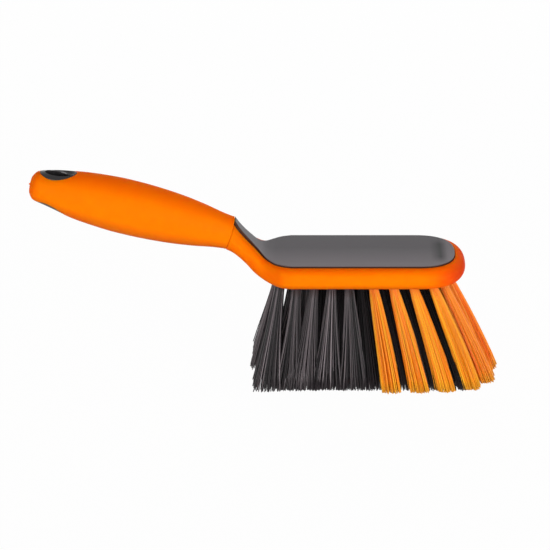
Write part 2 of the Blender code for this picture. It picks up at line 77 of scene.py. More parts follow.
class FilamentColour(Enum):
    """The two colours of filament, with the record's slot for each."""

    BLACK = "black_filament"
    ORANGE = "orange_filament"


def curve_through(rows: list[tuple], steps: int) -> list[tuple]:
    """Give rows of numbers on a smooth curve through the given rows.

    Args:
        rows: The rows to pass through, each with the same count of numbers.
        steps: How many rows the curve has for each one given.

    Returns:
        The rows of the curve, with the first and the last row kept.
    """
    smooth = []
    for index in range(len(rows) - 1):
        before = rows[max(index - 1, 0)]
        start = rows[index]
        end = rows[index + 1]
        after = rows[min(index + 2, len(rows) - 1)]
        for step in range(steps):
            t = step / steps
            smooth.append(
                tuple(
                    b
                    + t * (c - a) / 2
                    + t * t * (2 * a - 5 * b + 4 * c - d) / 2
                    + t * t * t * (3 * b - a - 3 * c + d) / 2
                    for a, b, c, d in zip(before, start, end, after)
                )
            )
    smooth.append(tuple(rows[-1]))
    return smooth


def quarter_turn(steps: int) -> list[Pair]:
    """The sine and the cosine at each step of a quarter turn, from 0 to 90 degrees."""
    angles = [math.pi / 2 * step / steps for step in range(steps + 1)]
    return [(math.sin(angle), math.cos(angle)) for angle in angles]


def whole_ring(half: Ring) -> Ring:
    """Close a half section, from its top to its bottom on the +Y side, with its mirror image."""
    return [*half, *(Vector((point.x, -point.y, point.z)) for point in reversed(half[1:-1]))]


class Workshop:
    """Builds meshes and cuts one with another."""

    smooth_angle: float = math.radians(35)
    weld_distance: float = 0.002 * MM
    sliver_distance: float = 0.001 * MM

    @classmethod
    def piece(cls, name: str, bm: bmesh.types.BMesh) -> bpy.types.Object:
        """Make an object of the mesh data.

        Args:
            name: The object's name.
            bm: The mesh data, which is freed.

        Returns:
            The object, linked into the scene.
        """
        bmesh.ops.recalc_face_normals(bm, faces=bm.faces)
        mesh = bpy.data.meshes.new(name)
        bm.to_mesh(mesh)
        bm.free()
        return cls.linked(name, mesh)

    @staticmethod
    def linked(name: str, data: bpy.types.ID) -> bpy.types.Object:
        """Make an object of a mesh, a light or a camera.

        Args:
            name: The object's name.
            data: The mesh, light or camera.

        Returns:
            The object, linked into the scene.
        """
        item = bpy.data.objects.new(name, data)
        bpy.context.scene.collection.objects.link(item)
        return item

    @staticmethod
    def skin(bm: bmesh.types.BMesh, rings: list[Ring]) -> None:
        """Skin a row of closed sections and close both ends.

        Args:
            bm: The mesh data, to which the skin is added.
            rings: The sections, each with the same count of points.
        """
        columns = [[bm.verts.new(point) for point in ring] for ring in rings]
        for first, second in zip(columns, columns[1:]):
            for index in range(len(first)):
                following = (index + 1) % len(first)
                bm.faces.new((first[index], first[following], second[following], second[index]))
        bm.faces.new(columns[0])
        bm.faces.new(list(reversed(columns[-1])))

    @classmethod
    def loft(cls, name: str, rings: list[Ring]) -> bpy.types.Object:
        """Make a closed solid over a row of sections.

        Args:
            name: The object's name.
            rings: The sections, each with the same count of points.

        Returns:
            The closed solid.
        """
        bm = bmesh.new()
        cls.skin(bm, rings)
        return cls.piece(name, bm)

    @classmethod
    def change(
        cls, item: bpy.types.Object, tool: bpy.types.Object, operation: Operation
    ) -> None:
        """Change one solid with another, which is used up.

        Args:
            item: The solid that changes.
            tool: The solid that it is changed with.
            operation: How it is changed.
        """
        modifier = item.modifiers.new(operation.name.lower(), "BOOLEAN")
        modifier.operation = operation.value
        modifier.solver = "EXACT"
        modifier.object = tool
        cls.apply(item)
        bpy.data.objects.remove(tool, do_unlink=True)

    @staticmethod
    def apply(item: bpy.types.Object) -> None:
        """Turn the object's modifiers into mesh.

        Args:
            item: The object.
        """
        bpy.context.view_layer.update()
        evaluated = item.evaluated_get(bpy.context.evaluated_depsgraph_get())
        result = bpy.data.meshes.new_from_object(evaluated)
        item.modifiers.clear()
        item.data = result

    @classmethod
    def settle(cls, item: bpy.types.Object, name: str, shift: float) -> None:
        """Give a finished piece its place, its name and smooth shading.

        Args:
            item: The piece.
            name: The name of its mesh and object.
            shift: How far it moves along X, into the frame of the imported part.
        """
        bm = bmesh.new()
        bm.from_mesh(item.data)
        bmesh.ops.remove_doubles(bm, verts=bm.verts, dist=cls.weld_distance)
        bmesh.ops.dissolve_degenerate(bm, edges=bm.edges, dist=cls.sliver_distance)
        bmesh.ops.translate(bm, verts=bm.verts, vec=(shift, 0, 0))
        bm.to_mesh(item.data)
        bm.free()
        item.data.shade_smooth()
        item.data.set_sharp_from_angle(angle=cls.smooth_angle)
        modifier = item.modifiers.new("flat_faces_lead", "WEIGHTED_NORMAL")
        modifier.keep_sharp = True
        cls.apply(item)
        item.name = name
        item.data.name = name


@dataclass(frozen=True)
class Rib:
    """One cross section of the head and neck.

    The panel is the half width of the black top panel there, proud is how far it stands above
    the orange rim, and blend goes from 0 on the round stem to 1 on the head block.
    """

    top: Vector
    bottom: Vector
    half_width: float
    panel: float
    proud: float
    blend: float

    @property
    def centre(self) -> Vector:
        """Middle of the section."""
        return (self.top + self.bottom) / 2

    @property
    def up(self) -> Vector:
        """Direction from the bottom of the section to its top."""
        return (self.top - self.bottom).normalized()

    @property
    def half_height(self) -> float:
        """Half the height of the section."""
        return (self.top - self.bottom).length / 2

    def place(self, across: float, upward: float) -> Vector:
        """Point at this distance across and up from the middle of the section."""
        return self.centre + self.up * upward + Vector((0, across, 0))

    def shifted(self, distance: float) -> "Rib":
        """The same section, moved along the body towards the nose.

        Args:
            distance: How far it moves.

        Returns:
            The moved section.
        """
        up = self.up
        move = Vector((up.z, 0, -up.x)) * distance
        return replace(self, top=self.top + move, bottom=self.bottom + move)


@dataclass(frozen=True)
class BodyLines:
    """The lines that the mouldings share, with x = 0 at the middle of the nose.

    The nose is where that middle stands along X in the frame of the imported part.
    """

    nose: float = 0.0
    bristle_length: float = 61.2 * MM
    head_thickness: float = 14.6 * MM
    base_proud: float = 0.3 * MM
    head_half_width: float = 30.0 * MM
    head_straight: float = 73.8 * MM
    nose_fullness: float = 2.5
    nose_steps: int = 56
    panel_half_width: float = 23.6 * MM
    panel_tip_half_width: float = 3.2 * MM
    panel_proud: float = 1.0 * MM
    panel_neck_proud: float = 2.5 * MM
    neck_run: float = 39.6 * MM
    neck_rise: float = 21.0 * MM
    neck_steps: int = 7
    handle_length: float = 123.2 * MM
    handle_tip_tilt: float = math.radians(13.0)
    handle_sag: float = 0.5 * MM
    handle_radius: float = 16.4 * MM
    handle_width_share: float = 0.96
    handle_steps: int = 5
    seam_step: float = 0.25 * MM
    block_blend_share: float = 0.6
    neck_rib_shares: tuple = (
        (0.848, 1.000, 0.992, 0.775, 0.000, 0.000),
        (0.780, 0.800, 0.886, 0.720, 0.054, 0.045),
        (0.697, 0.605, 0.780, 0.595, 0.112, 0.074),
        (0.606, 0.420, 0.674, 0.430, 0.195, 0.120),
        (0.500, 0.215, 0.561, 0.245, 0.340, 0.208),
        (0.394, 0.060, 0.439, 0.115, 0.495, 0.450),
        (0.273, 0.003, 0.303, 0.035, 0.710, 0.735),
        (0.152, 0.000, 0.152, 0.000, 0.922, 0.908),
        (0.000, 0.000, 0.000, 0.000, 1.000, 1.000),
    )
    handle_outline_shares: tuple = (
        (0.0085, 0.100),
        (0.0098, 0.200),
        (0.0135, 0.310),
        (0.029, 0.490),
        (0.050, 0.582),
        (0.070, 0.628),
        (0.091, 0.668),
        (0.125, 0.727),
        (0.160, 0.775),
        (0.209, 0.833),
        (0.258, 0.888),
        (0.307, 0.928),
        (0.356, 0.960),
        (0.405, 0.984),
        (0.455, 1.000),
        (0.553, 0.995),
        (0.651, 0.960),
        (0.749, 0.895),
        (0.848, 0.790),
        (0.897, 0.720),
        (0.946, 0.655),
    )

    @property
    def panel_height(self) -> float:
        """Height of the top panel above the floor."""
        return self.bristle_length + self.head_thickness

    @property
    def rim_bottom(self) -> float:
        """Height of the rim's lower face above the floor."""
        return self.bristle_length + self.base_proud

    def neck_line(self, row: tuple) -> tuple[Vector, Vector]:
        """Top and bottom points of the neck section with these shares.

        Args:
            row: One of the rows of neck_rib_shares, or a row between two of them.

        Returns:
            The top and the bottom point of the section.
        """
        top_run, top_rise, low_run, low_rise = row[:4]
        start = -self.head_straight
        top_height = self.panel_height + self.neck_rise * top_rise
        low_height = self.rim_bottom + self.neck_rise * low_rise
        top = Vector((start - self.neck_run * top_run, 0, top_height))
        low = Vector((start - self.neck_run * low_run, 0, low_height))
        return top, low

    def ribs(self) -> list[Rib]:
        """Sections from the seam down the neck and along the head to the middle of the nose.

        Returns:
            The sections, in that order.
        """
        top, low = self.neck_line(self.neck_rib_shares[0])
        seam_half_width = (top - low).length / 2 * self.handle_width_share
        panel_growth = self.panel_half_width - self.panel_tip_half_width
        ribs = []
        for row in curve_through(list(self.neck_rib_shares), self.neck_steps):
            top, low = self.neck_line(row)
            widening, panel_share = row[4:]
            blend = min(1.0, widening / self.block_blend_share)
            ribs.append(
                Rib(
                    top,
                    low,
                    seam_half_width + (self.head_half_width - seam_half_width) * widening,
                    self.panel_tip_half_width + panel_growth * panel_share,
                    self.panel_neck_proud + (self.panel_proud - self.panel_neck_proud) * blend,
                    blend,
                )
            )
        top = Vector((0, 0, self.panel_height))
        low = Vector((0, 0, self.rim_bottom))
        ribs.append(
            Rib(top, low, self.head_half_width, self.panel_half_width, self.panel_proud, 1.0)
        )
        return ribs

    def handle_frame(self, share: float) -> tuple[Vector, Vector, Vector]:
        """Give the handle's frame at a share of its length.

        Args:
            share: Place along the handle, 0 at its tip and 1 at the seam.

        Returns:
            The middle of the handle there, its up direction, and the direction to its tip.
        """
        top, low = self.neck_line(self.neck_rib_shares[0])
        seam_up = (top - low).normalized()
        seam_tilt = math.atan2(seam_up.x, seam_up.z)
        back = 1 - share
        tilt = seam_tilt + (self.handle_tip_tilt - seam_tilt) * back
        chord = (seam_tilt + tilt) / 2
        run = Vector((-math.cos(chord), 0, math.sin(chord))) * self.handle_length * back
        up = Vector((math.sin(tilt), 0, math.cos(tilt)))
        out = Vector((-math.cos(tilt), 0, math.sin(tilt)))
        sag = up * self.handle_sag * math.sin(math.pi * share)
        return (top + low) / 2 + run - sag, up, out

    @property
    def seam_radius(self) -> float:
        """Half height of the body where the grip meets the neck."""
        top, low = self.neck_line(self.neck_rib_shares[0])
        return (top - low).length / 2

    def handle_outline(self, steps: int) -> list[tuple]:
        """Place along the handle and half height, on a smooth curve from the tip to the seam.

        Args:
            steps: How many rows there are for each given one.

        Returns:
            Rows with the place along the handle and the half height there.
        """
        rows = [(share, self.handle_radius * size) for share, size in self.handle_outline_shares]
        rows.append((1.0, self.seam_radius))
        return curve_through(rows, steps)

    def handle_height(self, share: float) -> float:
        """Half height of the handle at this share of its length.

        Args:
            share: Place along the handle.

        Returns:
            The half height.
        """
        outline = self.handle_outline(self.handle_steps)
        for (start, first), (end, second) in zip(outline, outline[1:]):
            if share <= end:
                return first + (second - first) * (share - start) / (end - start)
        return outline[-1][1]

    def oval(self, share: float, half_height: float, sides: int, push: float = 0.0) -> Ring:
        """Give an oval section square to the handle.

        Args:
            share: Place along the handle.
            half_height: Half the height of the oval.
            sides: How many points it has.
            push: How far it moves out towards the handle's tip.

        Returns:
            The points of the oval.
        """
        centre, up, out = self.handle_frame(share)
        half_width = half_height * self.handle_width_share
        ring = []
        for index in range(sides):
            angle = 2 * math.pi * index / sides
            across = Vector((0, half_width * math.cos(angle), 0))
            ring.append(centre + out * push + across + up * half_height * math.sin(angle))
        return ring

    def spoon(self, name: str, halves: list[Ring]) -> bpy.types.Object:
        """Skin mirrored half sections and turn the last one half round into the nose.

        Args:
            name: The object's name.
            halves: Half sections from top to bottom on the +Y side, from the seam to the nose.

        Returns:
            The closed solid.
        """
        bm = bmesh.new()
        rings = []
        for half in halves:
            rings.append([bm.verts.new(point) for point in whole_ring(half)])
        for first, second in zip(rings, rings[1:]):
            for index in range(len(first)):
                following = (index + 1) % len(first)
                bm.faces.new((first[index], first[following], second[following]))
                bm.faces.new((first[index], second[following], second[index]))
        bm.faces.new(rings[0])
        last = len(halves[-1]) - 1
        columns = [rings[-1][: last + 1]]
        power = 2 / self.nose_fullness
        for step in range(1, self.nose_steps):
            angle = math.pi * step / self.nose_steps
            along = math.sin(angle) ** power
            across = math.copysign(abs(math.cos(angle)) ** power, math.cos(angle))
            turned = [
                bm.verts.new((point.y * along, point.y * across, point.z))
                for point in halves[-1][1:-1]
            ]
            columns.append([columns[0][0], *turned, columns[0][last]])
        columns.append([rings[-1][0], *reversed(rings[-1][last + 1 :]), rings[-1][last]])
        for first, second in zip(columns, columns[1:]):
            bm.faces.new((first[0], first[1], second[1]))
            for index in range(1, last - 1):
                bm.faces.new((first[index], first[index + 1], second[index + 1], second[index]))
            bm.faces.new((first[last - 1], first[last], second[last - 1]))
        return Workshop.piece(name, bm)


@dataclass(frozen=True)
class Pattern:
    """A noise in the frame of an object, with its size in turns for each metre.

    The detail is its count of finer layers. The stretch multiplies the size along X, Y and Z.
    """

    scale: float
    detail: float
    stretch: Triple = (1.0, 1.0, 1.0)


@dataclass(frozen=True)
class Relief:
    """One layer of relief: its pattern, its strength and its depth in metres."""

    pattern: Pattern
    strength: float
    depth: float


@dataclass(frozen=True)
class NodeSheet:
    """Lays out the nodes of one material."""

    tree: bpy.types.NodeTree

    def add(self, kind: str, **values: object) -> bpy.types.Node:
        """Add a node and set its properties or the defaults of its inputs.

        Args:
            kind: The node's type.
            values: Properties of the node, or inputs by name with _ for a space.

        Returns:
            The node.
        """
        node = self.tree.nodes.new(kind)
        for name, value in values.items():
            if hasattr(node, name):
                setattr(node, name, value)
            else:
                node.inputs[name.replace("_", " ")].default_value = value
        return node

    def join(self, start: Socket, end: Socket) -> None:
        """Link an output to an input."""
        self.tree.links.new(start, end)

    def noise(self, pattern: Pattern) -> Socket:
        """Lay out a noise in the frame of the object.

        Args:
            pattern: Its size, detail and stretch.

        Returns:
            The output with the noise, from 0 to 1.
        """
        place = self.add("ShaderNodeTexCoord")
        mapping = self.add("ShaderNodeMapping")
        mapping.inputs["Scale"].default_value = pattern.stretch
        noise = self.add("ShaderNodeTexNoise", Scale=pattern.scale, Detail=pattern.detail)
        self.join(place.outputs["Object"], mapping.inputs["Vector"])
        self.join(mapping.outputs["Vector"], noise.inputs["Vector"])
        return noise.outputs["Fac"]

    def attribute(self, name: str) -> Socket:
        """The values that the mesh holds under this name."""
        return self.add("ShaderNodeAttribute", attribute_name=name).outputs["Fac"]

    def spread(
        self, value: Socket, low: float, high: float, to_low: float, to_high: float
    ) -> Socket:
        """Map a value from one range to another, and hold it there.

        Args:
            value: The output with the value.
            low: The low end of its range.
            high: The high end of its range.
            to_low: What the low end becomes.
            to_high: What the high end becomes.

        Returns:
            The output with the result.
        """
        node = self.add("ShaderNodeMapRange", clamp=True)
        for name, number in (
            ("From Min", low),
            ("From Max", high),
            ("To Min", to_low),
            ("To Max", to_high),
        ):
            node.inputs[name].default_value = number
        self.join(value, node.inputs["Value"])
        return node.outputs["Result"]

    def work(self, operation: str, *values: object) -> Socket:
        """Give the result of a calculation.

        Args:
            operation: What is done, such as MULTIPLY.
            values: The outputs or fixed numbers that it is done with.

        Returns:
            The output with the result.
        """
        node = self.add("ShaderNodeMath", operation=operation)
        for value, socket in zip(values, node.inputs):
            if isinstance(value, Socket):
                self.join(value, socket)
            else:
                socket.default_value = value
        return node.outputs[0]

    def axes(self, kind: str, output: str) -> bpy.types.NodeOutputs:
        """The X, Y and Z of this output of a new node.

        Args:
            kind: The node's type.
            output: The output with the place or direction.

        Returns:
            The three outputs, by the names X, Y and Z.
        """
        source = self.add(kind)
        split = self.add("ShaderNodeSeparateXYZ")
        self.join(source.outputs[output], split.inputs[0])
        return split.outputs

    def rays(self, *kinds: str) -> Socket:
        """1 for rays of any of these kinds, and 0 for others.

        Args:
            kinds: Names of outputs of the Light Path node.

        Returns:
            The output with 1 or 0.
        """
        path = self.add("ShaderNodeLightPath")
        share = path.outputs[kinds[0]]
        for kind in kinds[1:]:
            share = self.work("MAXIMUM", share, path.outputs[kind])
        return share

    def mix(self, share: Socket, first: object, second: object) -> Socket:
        """Mix two colours, each of them fixed or an output.

        Args:
            share: How much of the second colour there is.
            first: The first colour.
            second: The second colour.

        Returns:
            The output with the mixed colour.
        """
        node = self.add("ShaderNodeMix", data_type="RGBA")
        self.join(share, node.inputs["Factor"])
        for value, socket in ((first, node.inputs[6]), (second, node.inputs[7])):
            if isinstance(value, Socket):
                self.join(value, socket)
            else:
                socket.default_value = (*value, 1)
        return node.outputs[2]

    def bump(self, layers: list[Relief]) -> Socket:
        """Stack layers of relief.

        Args:
            layers: The layers, from the lowest up.

        Returns:
            The output with the normal.
        """
        normal = None
        for layer in layers:
            node = self.add("ShaderNodeBump", Strength=layer.strength, Distance=layer.depth)
            self.join(self.noise(layer.pattern), node.inputs["Height"])
            if normal:
                self.join(normal, node.inputs["Normal"])
            normal = node.outputs["Normal"]
        return normal


@dataclass(frozen=True, kw_only=True)
class Finish:
    """What the finishes share: the gloss, which differs with wear, the relief and the shader.

    Each kind of finish has its own tint. A range gives two values of what it reads and the
    share, or the roughness, at each of them.
    """

    name: str
    wear: Pattern = Pattern(190.0, 3.0)
    wear_range: Pair = (0.3, 0.7)
    roughness: Pair
    specular: float = 0.5

    def tint(self, sheet: NodeSheet) -> Socket:
        """The output with the colour, which each kind of finish lays out."""
        raise NotImplementedError(self.name)

    def gloss(self, sheet: NodeSheet) -> Socket:
        """The output with the roughness."""
        return sheet.spread(sheet.noise(self.wear), *self.wear_range, *self.roughness)

    def layers(self) -> list[Relief]:
        """The layers of relief, from the lowest up."""
        return []

    def tune(self, shader: bpy.types.Node) -> None:
        """Set the values of the shader that are the same all over."""
        shader.inputs["Specular IOR Level"].default_value = self.specular

    def material(self) -> bpy.types.Material:
        """Lay out the material.

        Returns:
            The material, with its nodes.
        """
        material = bpy.data.materials.new(self.name)
        material.use_nodes = True
        sheet = NodeSheet(material.node_tree)
        shader = material.node_tree.nodes["Principled BSDF"]
        sheet.join(self.tint(sheet), shader.inputs["Base Color"])
        sheet.join(self.gloss(sheet), shader.inputs["Roughness"])
        if self.layers():
            sheet.join(sheet.bump(self.layers()), shader.inputs["Normal"])
        self.tune(shader)
        return material


@dataclass(frozen=True, kw_only=True)
class SoftPlastic(Finish):
    """Finish of the soft orange skin: a fine spark grain with faint flow marks.

    Shade is painted into its colour: it is redder where it turns up, back and ahead at the nose,
    and darker where it turns down and to the side of the nose.
    """

    nose: float
    colour: Colour = (0.94, 0.205, 0.0)
    deep_colour: Colour = (0.92, 0.185, 0.0)
    # Painted shade: redder where the skin turns up, back and ahead at the nose, darker where it
    # turns down and at the side of the nose.
    painted_shade_colour: Colour = (0.97, 0.120, 0.0)
    painted_underside_shade_colour: Colour = (0.62, 0.100, 0.003)
    painted_nose_shade_colour: Colour = (0.62, 0.045, 0.005)
    flow: Pattern = Pattern(22.0, 4.0, (0.4, 1.0, 1.0))
    flow_range: Range = (0.35, 0.68, 0.0, 1.0)
    # Where the painted shade is mixed in, by the direction of the surface and its place at the
    # nose.
    painted_top_shade_range: Range = (0.55, 0.95, 0.0, 0.9)
    painted_underside_shade_range: Range = (-0.85, -0.25, 1.0, 0.0)
    painted_ahead_shade_range: Range = (-0.10, 0.35, 0.4, 1.0)
    painted_behind_shade_range: Range = (-0.80, -0.20, 0.8, 0.0)
    painted_nose_side_shade_range: Range = (0.15, 0.85, 0.0, 1.0)
    painted_nose_shade_places: Pair = (2.0 * MM, 18.0 * MM)
    roughness: Pair = (0.46, 0.60)
    grain: Relief = Relief(Pattern(2600.0, 2.0), 0.35, 0.05 * MM)
    ripple: Relief = Relief(Pattern(140.0, 2.0), 0.12, 0.2 * MM)
    specular: float = 0.02
    glow: float = 0.5
    glow_spread: Colour = (1.0, 0.22, 0.05)
    glow_depth: float = 4.0 * MM

    def tint(self, sheet: NodeSheet) -> Socket:
        """Lay out the colour of the skin, with painted shade where it turns away.

        Args:
            sheet: The nodes of the material.

        Returns:
            The output with the colour.
        """
        along = sheet.axes("ShaderNodeTexCoord", "Object")["X"]
        turned = sheet.axes("ShaderNodeNewGeometry", "Normal")
        start, end = (self.nose + place for place in self.painted_nose_shade_places)
        front = sheet.spread(along, start, end, 0.0, 1.0)
        ahead = sheet.work("MULTIPLY", sheet.spread(turned["X"], *self.painted_ahead_shade_range), front)
        tip = sheet.work("MULTIPLY", ahead, sheet.spread(turned["X"], *self.painted_nose_side_shade_range))
        flow = sheet.spread(sheet.noise(self.flow), *self.flow_range)
        tint = sheet.mix(flow, self.colour, self.deep_colour)
        # Painted shade, mixed over the flow marks by the direction that the surface faces.
        for share, colour in (
            (sheet.spread(turned["Z"], *self.painted_top_shade_range), self.painted_shade_colour),
            (sheet.spread(turned["Z"], *self.painted_underside_shade_range), self.painted_underside_shade_colour),
            (ahead, self.painted_shade_colour),
            (sheet.spread(turned["X"], *self.painted_behind_shade_range), self.painted_shade_colour),
            (tip, self.painted_nose_shade_colour),
        ):
            tint = sheet.mix(share, tint, colour)
        return tint

    def layers(self) -> list[Relief]:
        """The grain, with the ripple on it."""
        return [self.grain, self.ripple]

    def tune(self, shader: bpy.types.Node) -> None:
        """Add the light that spreads inside the skin.

        Args:
            shader: The shader of the material.
        """
        super().tune(shader)
        shader.inputs["Subsurface Weight"].default_value = self.glow
        shader.inputs["Subsurface Radius"].default_value = self.glow_spread
        shader.inputs["Subsurface Scale"].default_value = self.glow_depth


@dataclass(frozen=True, kw_only=True)
class HardPlastic(Finish):
    """Finish of the black core moulding, with faint streaks along it."""

    colour: Colour = (0.021, 0.019, 0.020)
    worn_colour: Colour = (0.034, 0.031, 0.033)
    wear: Pattern = Pattern(60.0, 5.0, (0.18, 2.4, 1.0))
    wear_range: Pair = (0.34, 0.66)
    worn_range: Range = (0.40, 0.66, 0.0, 1.0)
    roughness: Pair = (0.30, 0.40)
    grain: Relief = Relief(Pattern(1900.0, 2.0), 0.22, 0.03 * MM)
    streak_strength: float = 0.10
    streak_depth: float = 0.04 * MM

    def tint(self, sheet: NodeSheet) -> Socket:
        """The output with the colour, paler where the plastic is worn."""
        worn = sheet.spread(sheet.noise(self.wear), *self.worn_range)
        return sheet.mix(worn, self.colour, self.worn_colour)

    def layers(self) -> list[Relief]:
        """The grain, with the streaks on it."""
        return [self.grain, Relief(self.wear, self.streak_strength, self.streak_depth)]


@dataclass(frozen=True, kw_only=True)
class PanelPlastic(HardPlastic):
    """Finish of the top panel, paler than the core with a painted reflection and paler still along
    one side, with a painted shade patch and a painted reflection rim at the nose.

    The shade patch's places are where it starts, is deepest and ends beyond the middle of the nose.
    """

    nose: float
    # Painted reflection: these colours are paler than the core's black plastic.
    colour: Colour = (0.062, 0.055, 0.061)
    worn_colour: Colour = (0.078, 0.069, 0.077)
    specular: float = 0.2
    # Painted reflection on one side and at the nose, and a painted shade patch at the nose.
    painted_reflection_colour: Colour = (0.210, 0.180, 0.195)
    painted_reflection_side: Range = (-24.0 * MM, 4.0 * MM, 0.7, 0.0)
    painted_reflection_rim: float = 0.5
    painted_reflection_rim_run: float = 1.5 * MM
    painted_shade_patch_colour: Colour = (0.006, 0.005, 0.006)
    painted_shade_patch_places: Triple = (9.0 * MM, 15.0 * MM, 19.0 * MM)
    painted_shade_patch_half_width: Pair = (9.0 * MM, 18.0 * MM)

    def tint(self, sheet: NodeSheet) -> Socket:
        """Lay out the colour, with the painted reflection on one side, the painted shade patch and
        the painted reflection rim.

        Args:
            sheet: The nodes of the material.

        Returns:
            The output with the colour.
        """
        place = sheet.axes("ShaderNodeTexCoord", "Object")
        along, across = place["X"], place["Y"]
        start, middle, end = (self.nose + distance for distance in self.painted_shade_patch_places)
        tint = super().tint(sheet)
        # Painted reflection, paler towards the -Y side of the panel.
        tint = sheet.mix(sheet.spread(across, *self.painted_reflection_side), tint, self.painted_reflection_colour)
        # Painted reflection rim beyond the shade patch at the nose.
        beyond = sheet.spread(along, middle, end + self.painted_reflection_rim_run, 0.0, self.painted_reflection_rim)
        tint = sheet.mix(beyond, tint, self.painted_reflection_colour)
        # Painted shade patch near the nose, deepest at its middle.
        near = sheet.spread(along, start, middle, 0.0, 1.0)
        far = sheet.spread(along, middle, end, 1.0, 0.0)
        width = sheet.spread(sheet.work("ABSOLUTE", across), *self.painted_shade_patch_half_width, 1.0, 0.0)
        pool = sheet.work("MULTIPLY", width, sheet.work("MULTIPLY", near, far))
        return sheet.mix(pool, tint, self.painted_shade_patch_colour)


@dataclass(frozen=True, kw_only=True)
class FilamentFinish(Finish):
    """Finish of one colour of filament, which differs a little from strand to strand, with painted
    shade at the roots.
    """

    dark_colour: Colour
    light_colour: Colour
    tip_colour: Colour
    # Painted shade at the roots.
    painted_root_shade_colour: Colour
    specular: float = 0.3
    tip_range: Range = (0.86, 1.0, 0.0, 0.7)
    painted_root_shade_range: Range = (0.0, 0.10, 0.9, 0.0)
    crimp: Relief = Relief(Pattern(700.0, 2.0, (1.0, 1.0, 0.5)), 0.2, 0.05 * MM)

    def tint(self, sheet: NodeSheet) -> Socket:
        """Lay out the colour, from the strand's tone and the place along it, with painted shade
        near the root.

        Args:
            sheet: The nodes of the material.

        Returns:
            The output with the colour.
        """
        along = sheet.attribute(TuftMesh.along_name)
        tone = sheet.attribute(TuftMesh.tone_name)
        tint = sheet.mix(tone, self.dark_colour, self.light_colour)
        tint = sheet.mix(sheet.spread(along, *self.tip_range), tint, self.tip_colour)
        # Painted shade near the root.
        return sheet.mix(sheet.spread(along, *self.painted_root_shade_range), tint, self.painted_root_shade_colour)

    def gloss(self, sheet: NodeSheet) -> Socket:
        """The output with the roughness, which follows the tone."""
        return sheet.spread(sheet.attribute(TuftMesh.tone_name), 0.0, 1.0, *self.roughness)

    def layers(self) -> list[Relief]:
        """The fine crimp of the filaments."""
        return [self.crimp]


@dataclass(frozen=True, kw_only=True)
class Steel(Finish):
    """Finish of the flat anchor bars that hold the tufts in their holes."""

    name: str = "anchor_steel_look"
    colour: Colour = (0.56, 0.55, 0.53)
    stained_colour: Colour = (0.42, 0.40, 0.37)
    wear: Pattern = Pattern(900.0, 3.0)
    roughness: Pair = (0.25, 0.50)

    def tint(self, sheet: NodeSheet) -> Socket:
        """The output with the colour, darker where the steel is stained."""
        return sheet.mix(sheet.noise(self.wear), self.colour, self.stained_colour)

    def tune(self, shader: bpy.types.Node) -> None:
        """Make the shader a metal."""
        super().tune(shader)
        shader.inputs["Metallic"].default_value = 1.0


@dataclass(frozen=True)
class HangingEye:
    """The oval collar through the handle and its slot, with both mouths scooped."""

    lines: BodyLines
    share: float = 0.130
    collar_half_length: float = 10.4 * MM
    collar_half_width: float = 6.6 * MM
    collar_draft: float = 1.2 * MM
    collar_side_draft: float = 3.4 * MM
    collar_sink: float = 0.1 * MM
    collar_gap: float = 0.2 * MM
    slot_half_length: float = 7.6 * MM
    slot_half_width: float = 4.2 * MM
    scoop_depth: float = 3.5 * MM
    scoop_flare: float = 1.9 * MM
    overrun: float = 2.0 * MM
    sides: int = 72
    scoop_steps: int = 7

    def ring(self, height: float, half_length: float, half_width: float) -> Ring:
        """Oval round the axis of the eye, at this height along that axis.

        Args:
            height: Height along the axis, from the middle of the handle.
            half_length: Half the length of the oval.
            half_width: Half its width.

        Returns:
            The points of the oval.
        """
        centre, up, out = self.lines.handle_frame(self.share)
        ring = []
        for index in range(self.sides):
            angle = 2 * math.pi * (index + 1 / 2) / self.sides
            along = -out * half_length * math.cos(angle)
            across = Vector((0, half_width * math.sin(angle), 0))
            ring.append(centre + up * height + along + across)
        return ring

    def prism(self, name: str, grow: float) -> bpy.types.Object:
        """Solid through the handle with the collar's outline, grown all round.

        Args:
            name: The object's name.
            grow: How far the outline stands out.

        Returns:
            The closed solid.
        """
        reach = self.lines.handle_height(self.share) + self.overrun
        upper = (self.collar_half_length + grow, self.collar_half_width + grow)
        lower = (upper[0] + self.collar_draft, upper[1] + self.collar_side_draft)
        return Workshop.loft(name, [self.ring(-reach, *lower), self.ring(reach, *upper)])

    def slot(self, name: str) -> bpy.types.Object:
        """Solid with the form of the slot and of its rounded scoops.

        Args:
            name: The object's name.

        Returns:
            The closed solid.
        """
        surface = self.lines.handle_height(self.share) - self.collar_sink
        profile = []
        for sine, cosine in quarter_turn(self.scoop_steps):
            depth = self.scoop_depth * cosine
            profile.append((surface - self.scoop_depth + depth, self.scoop_flare * (1 - sine)))
        wide = self.scoop_flare + self.overrun / 2
        heights = [(surface + self.overrun, wide), *profile]
        heights.extend([(-height, flare) for height, flare in reversed(heights)])
        length, width = self.slot_half_length, self.slot_half_width
        rings = [self.ring(height, length + flare, width + flare) for height, flare in heights]
        return Workshop.loft(name, rings)


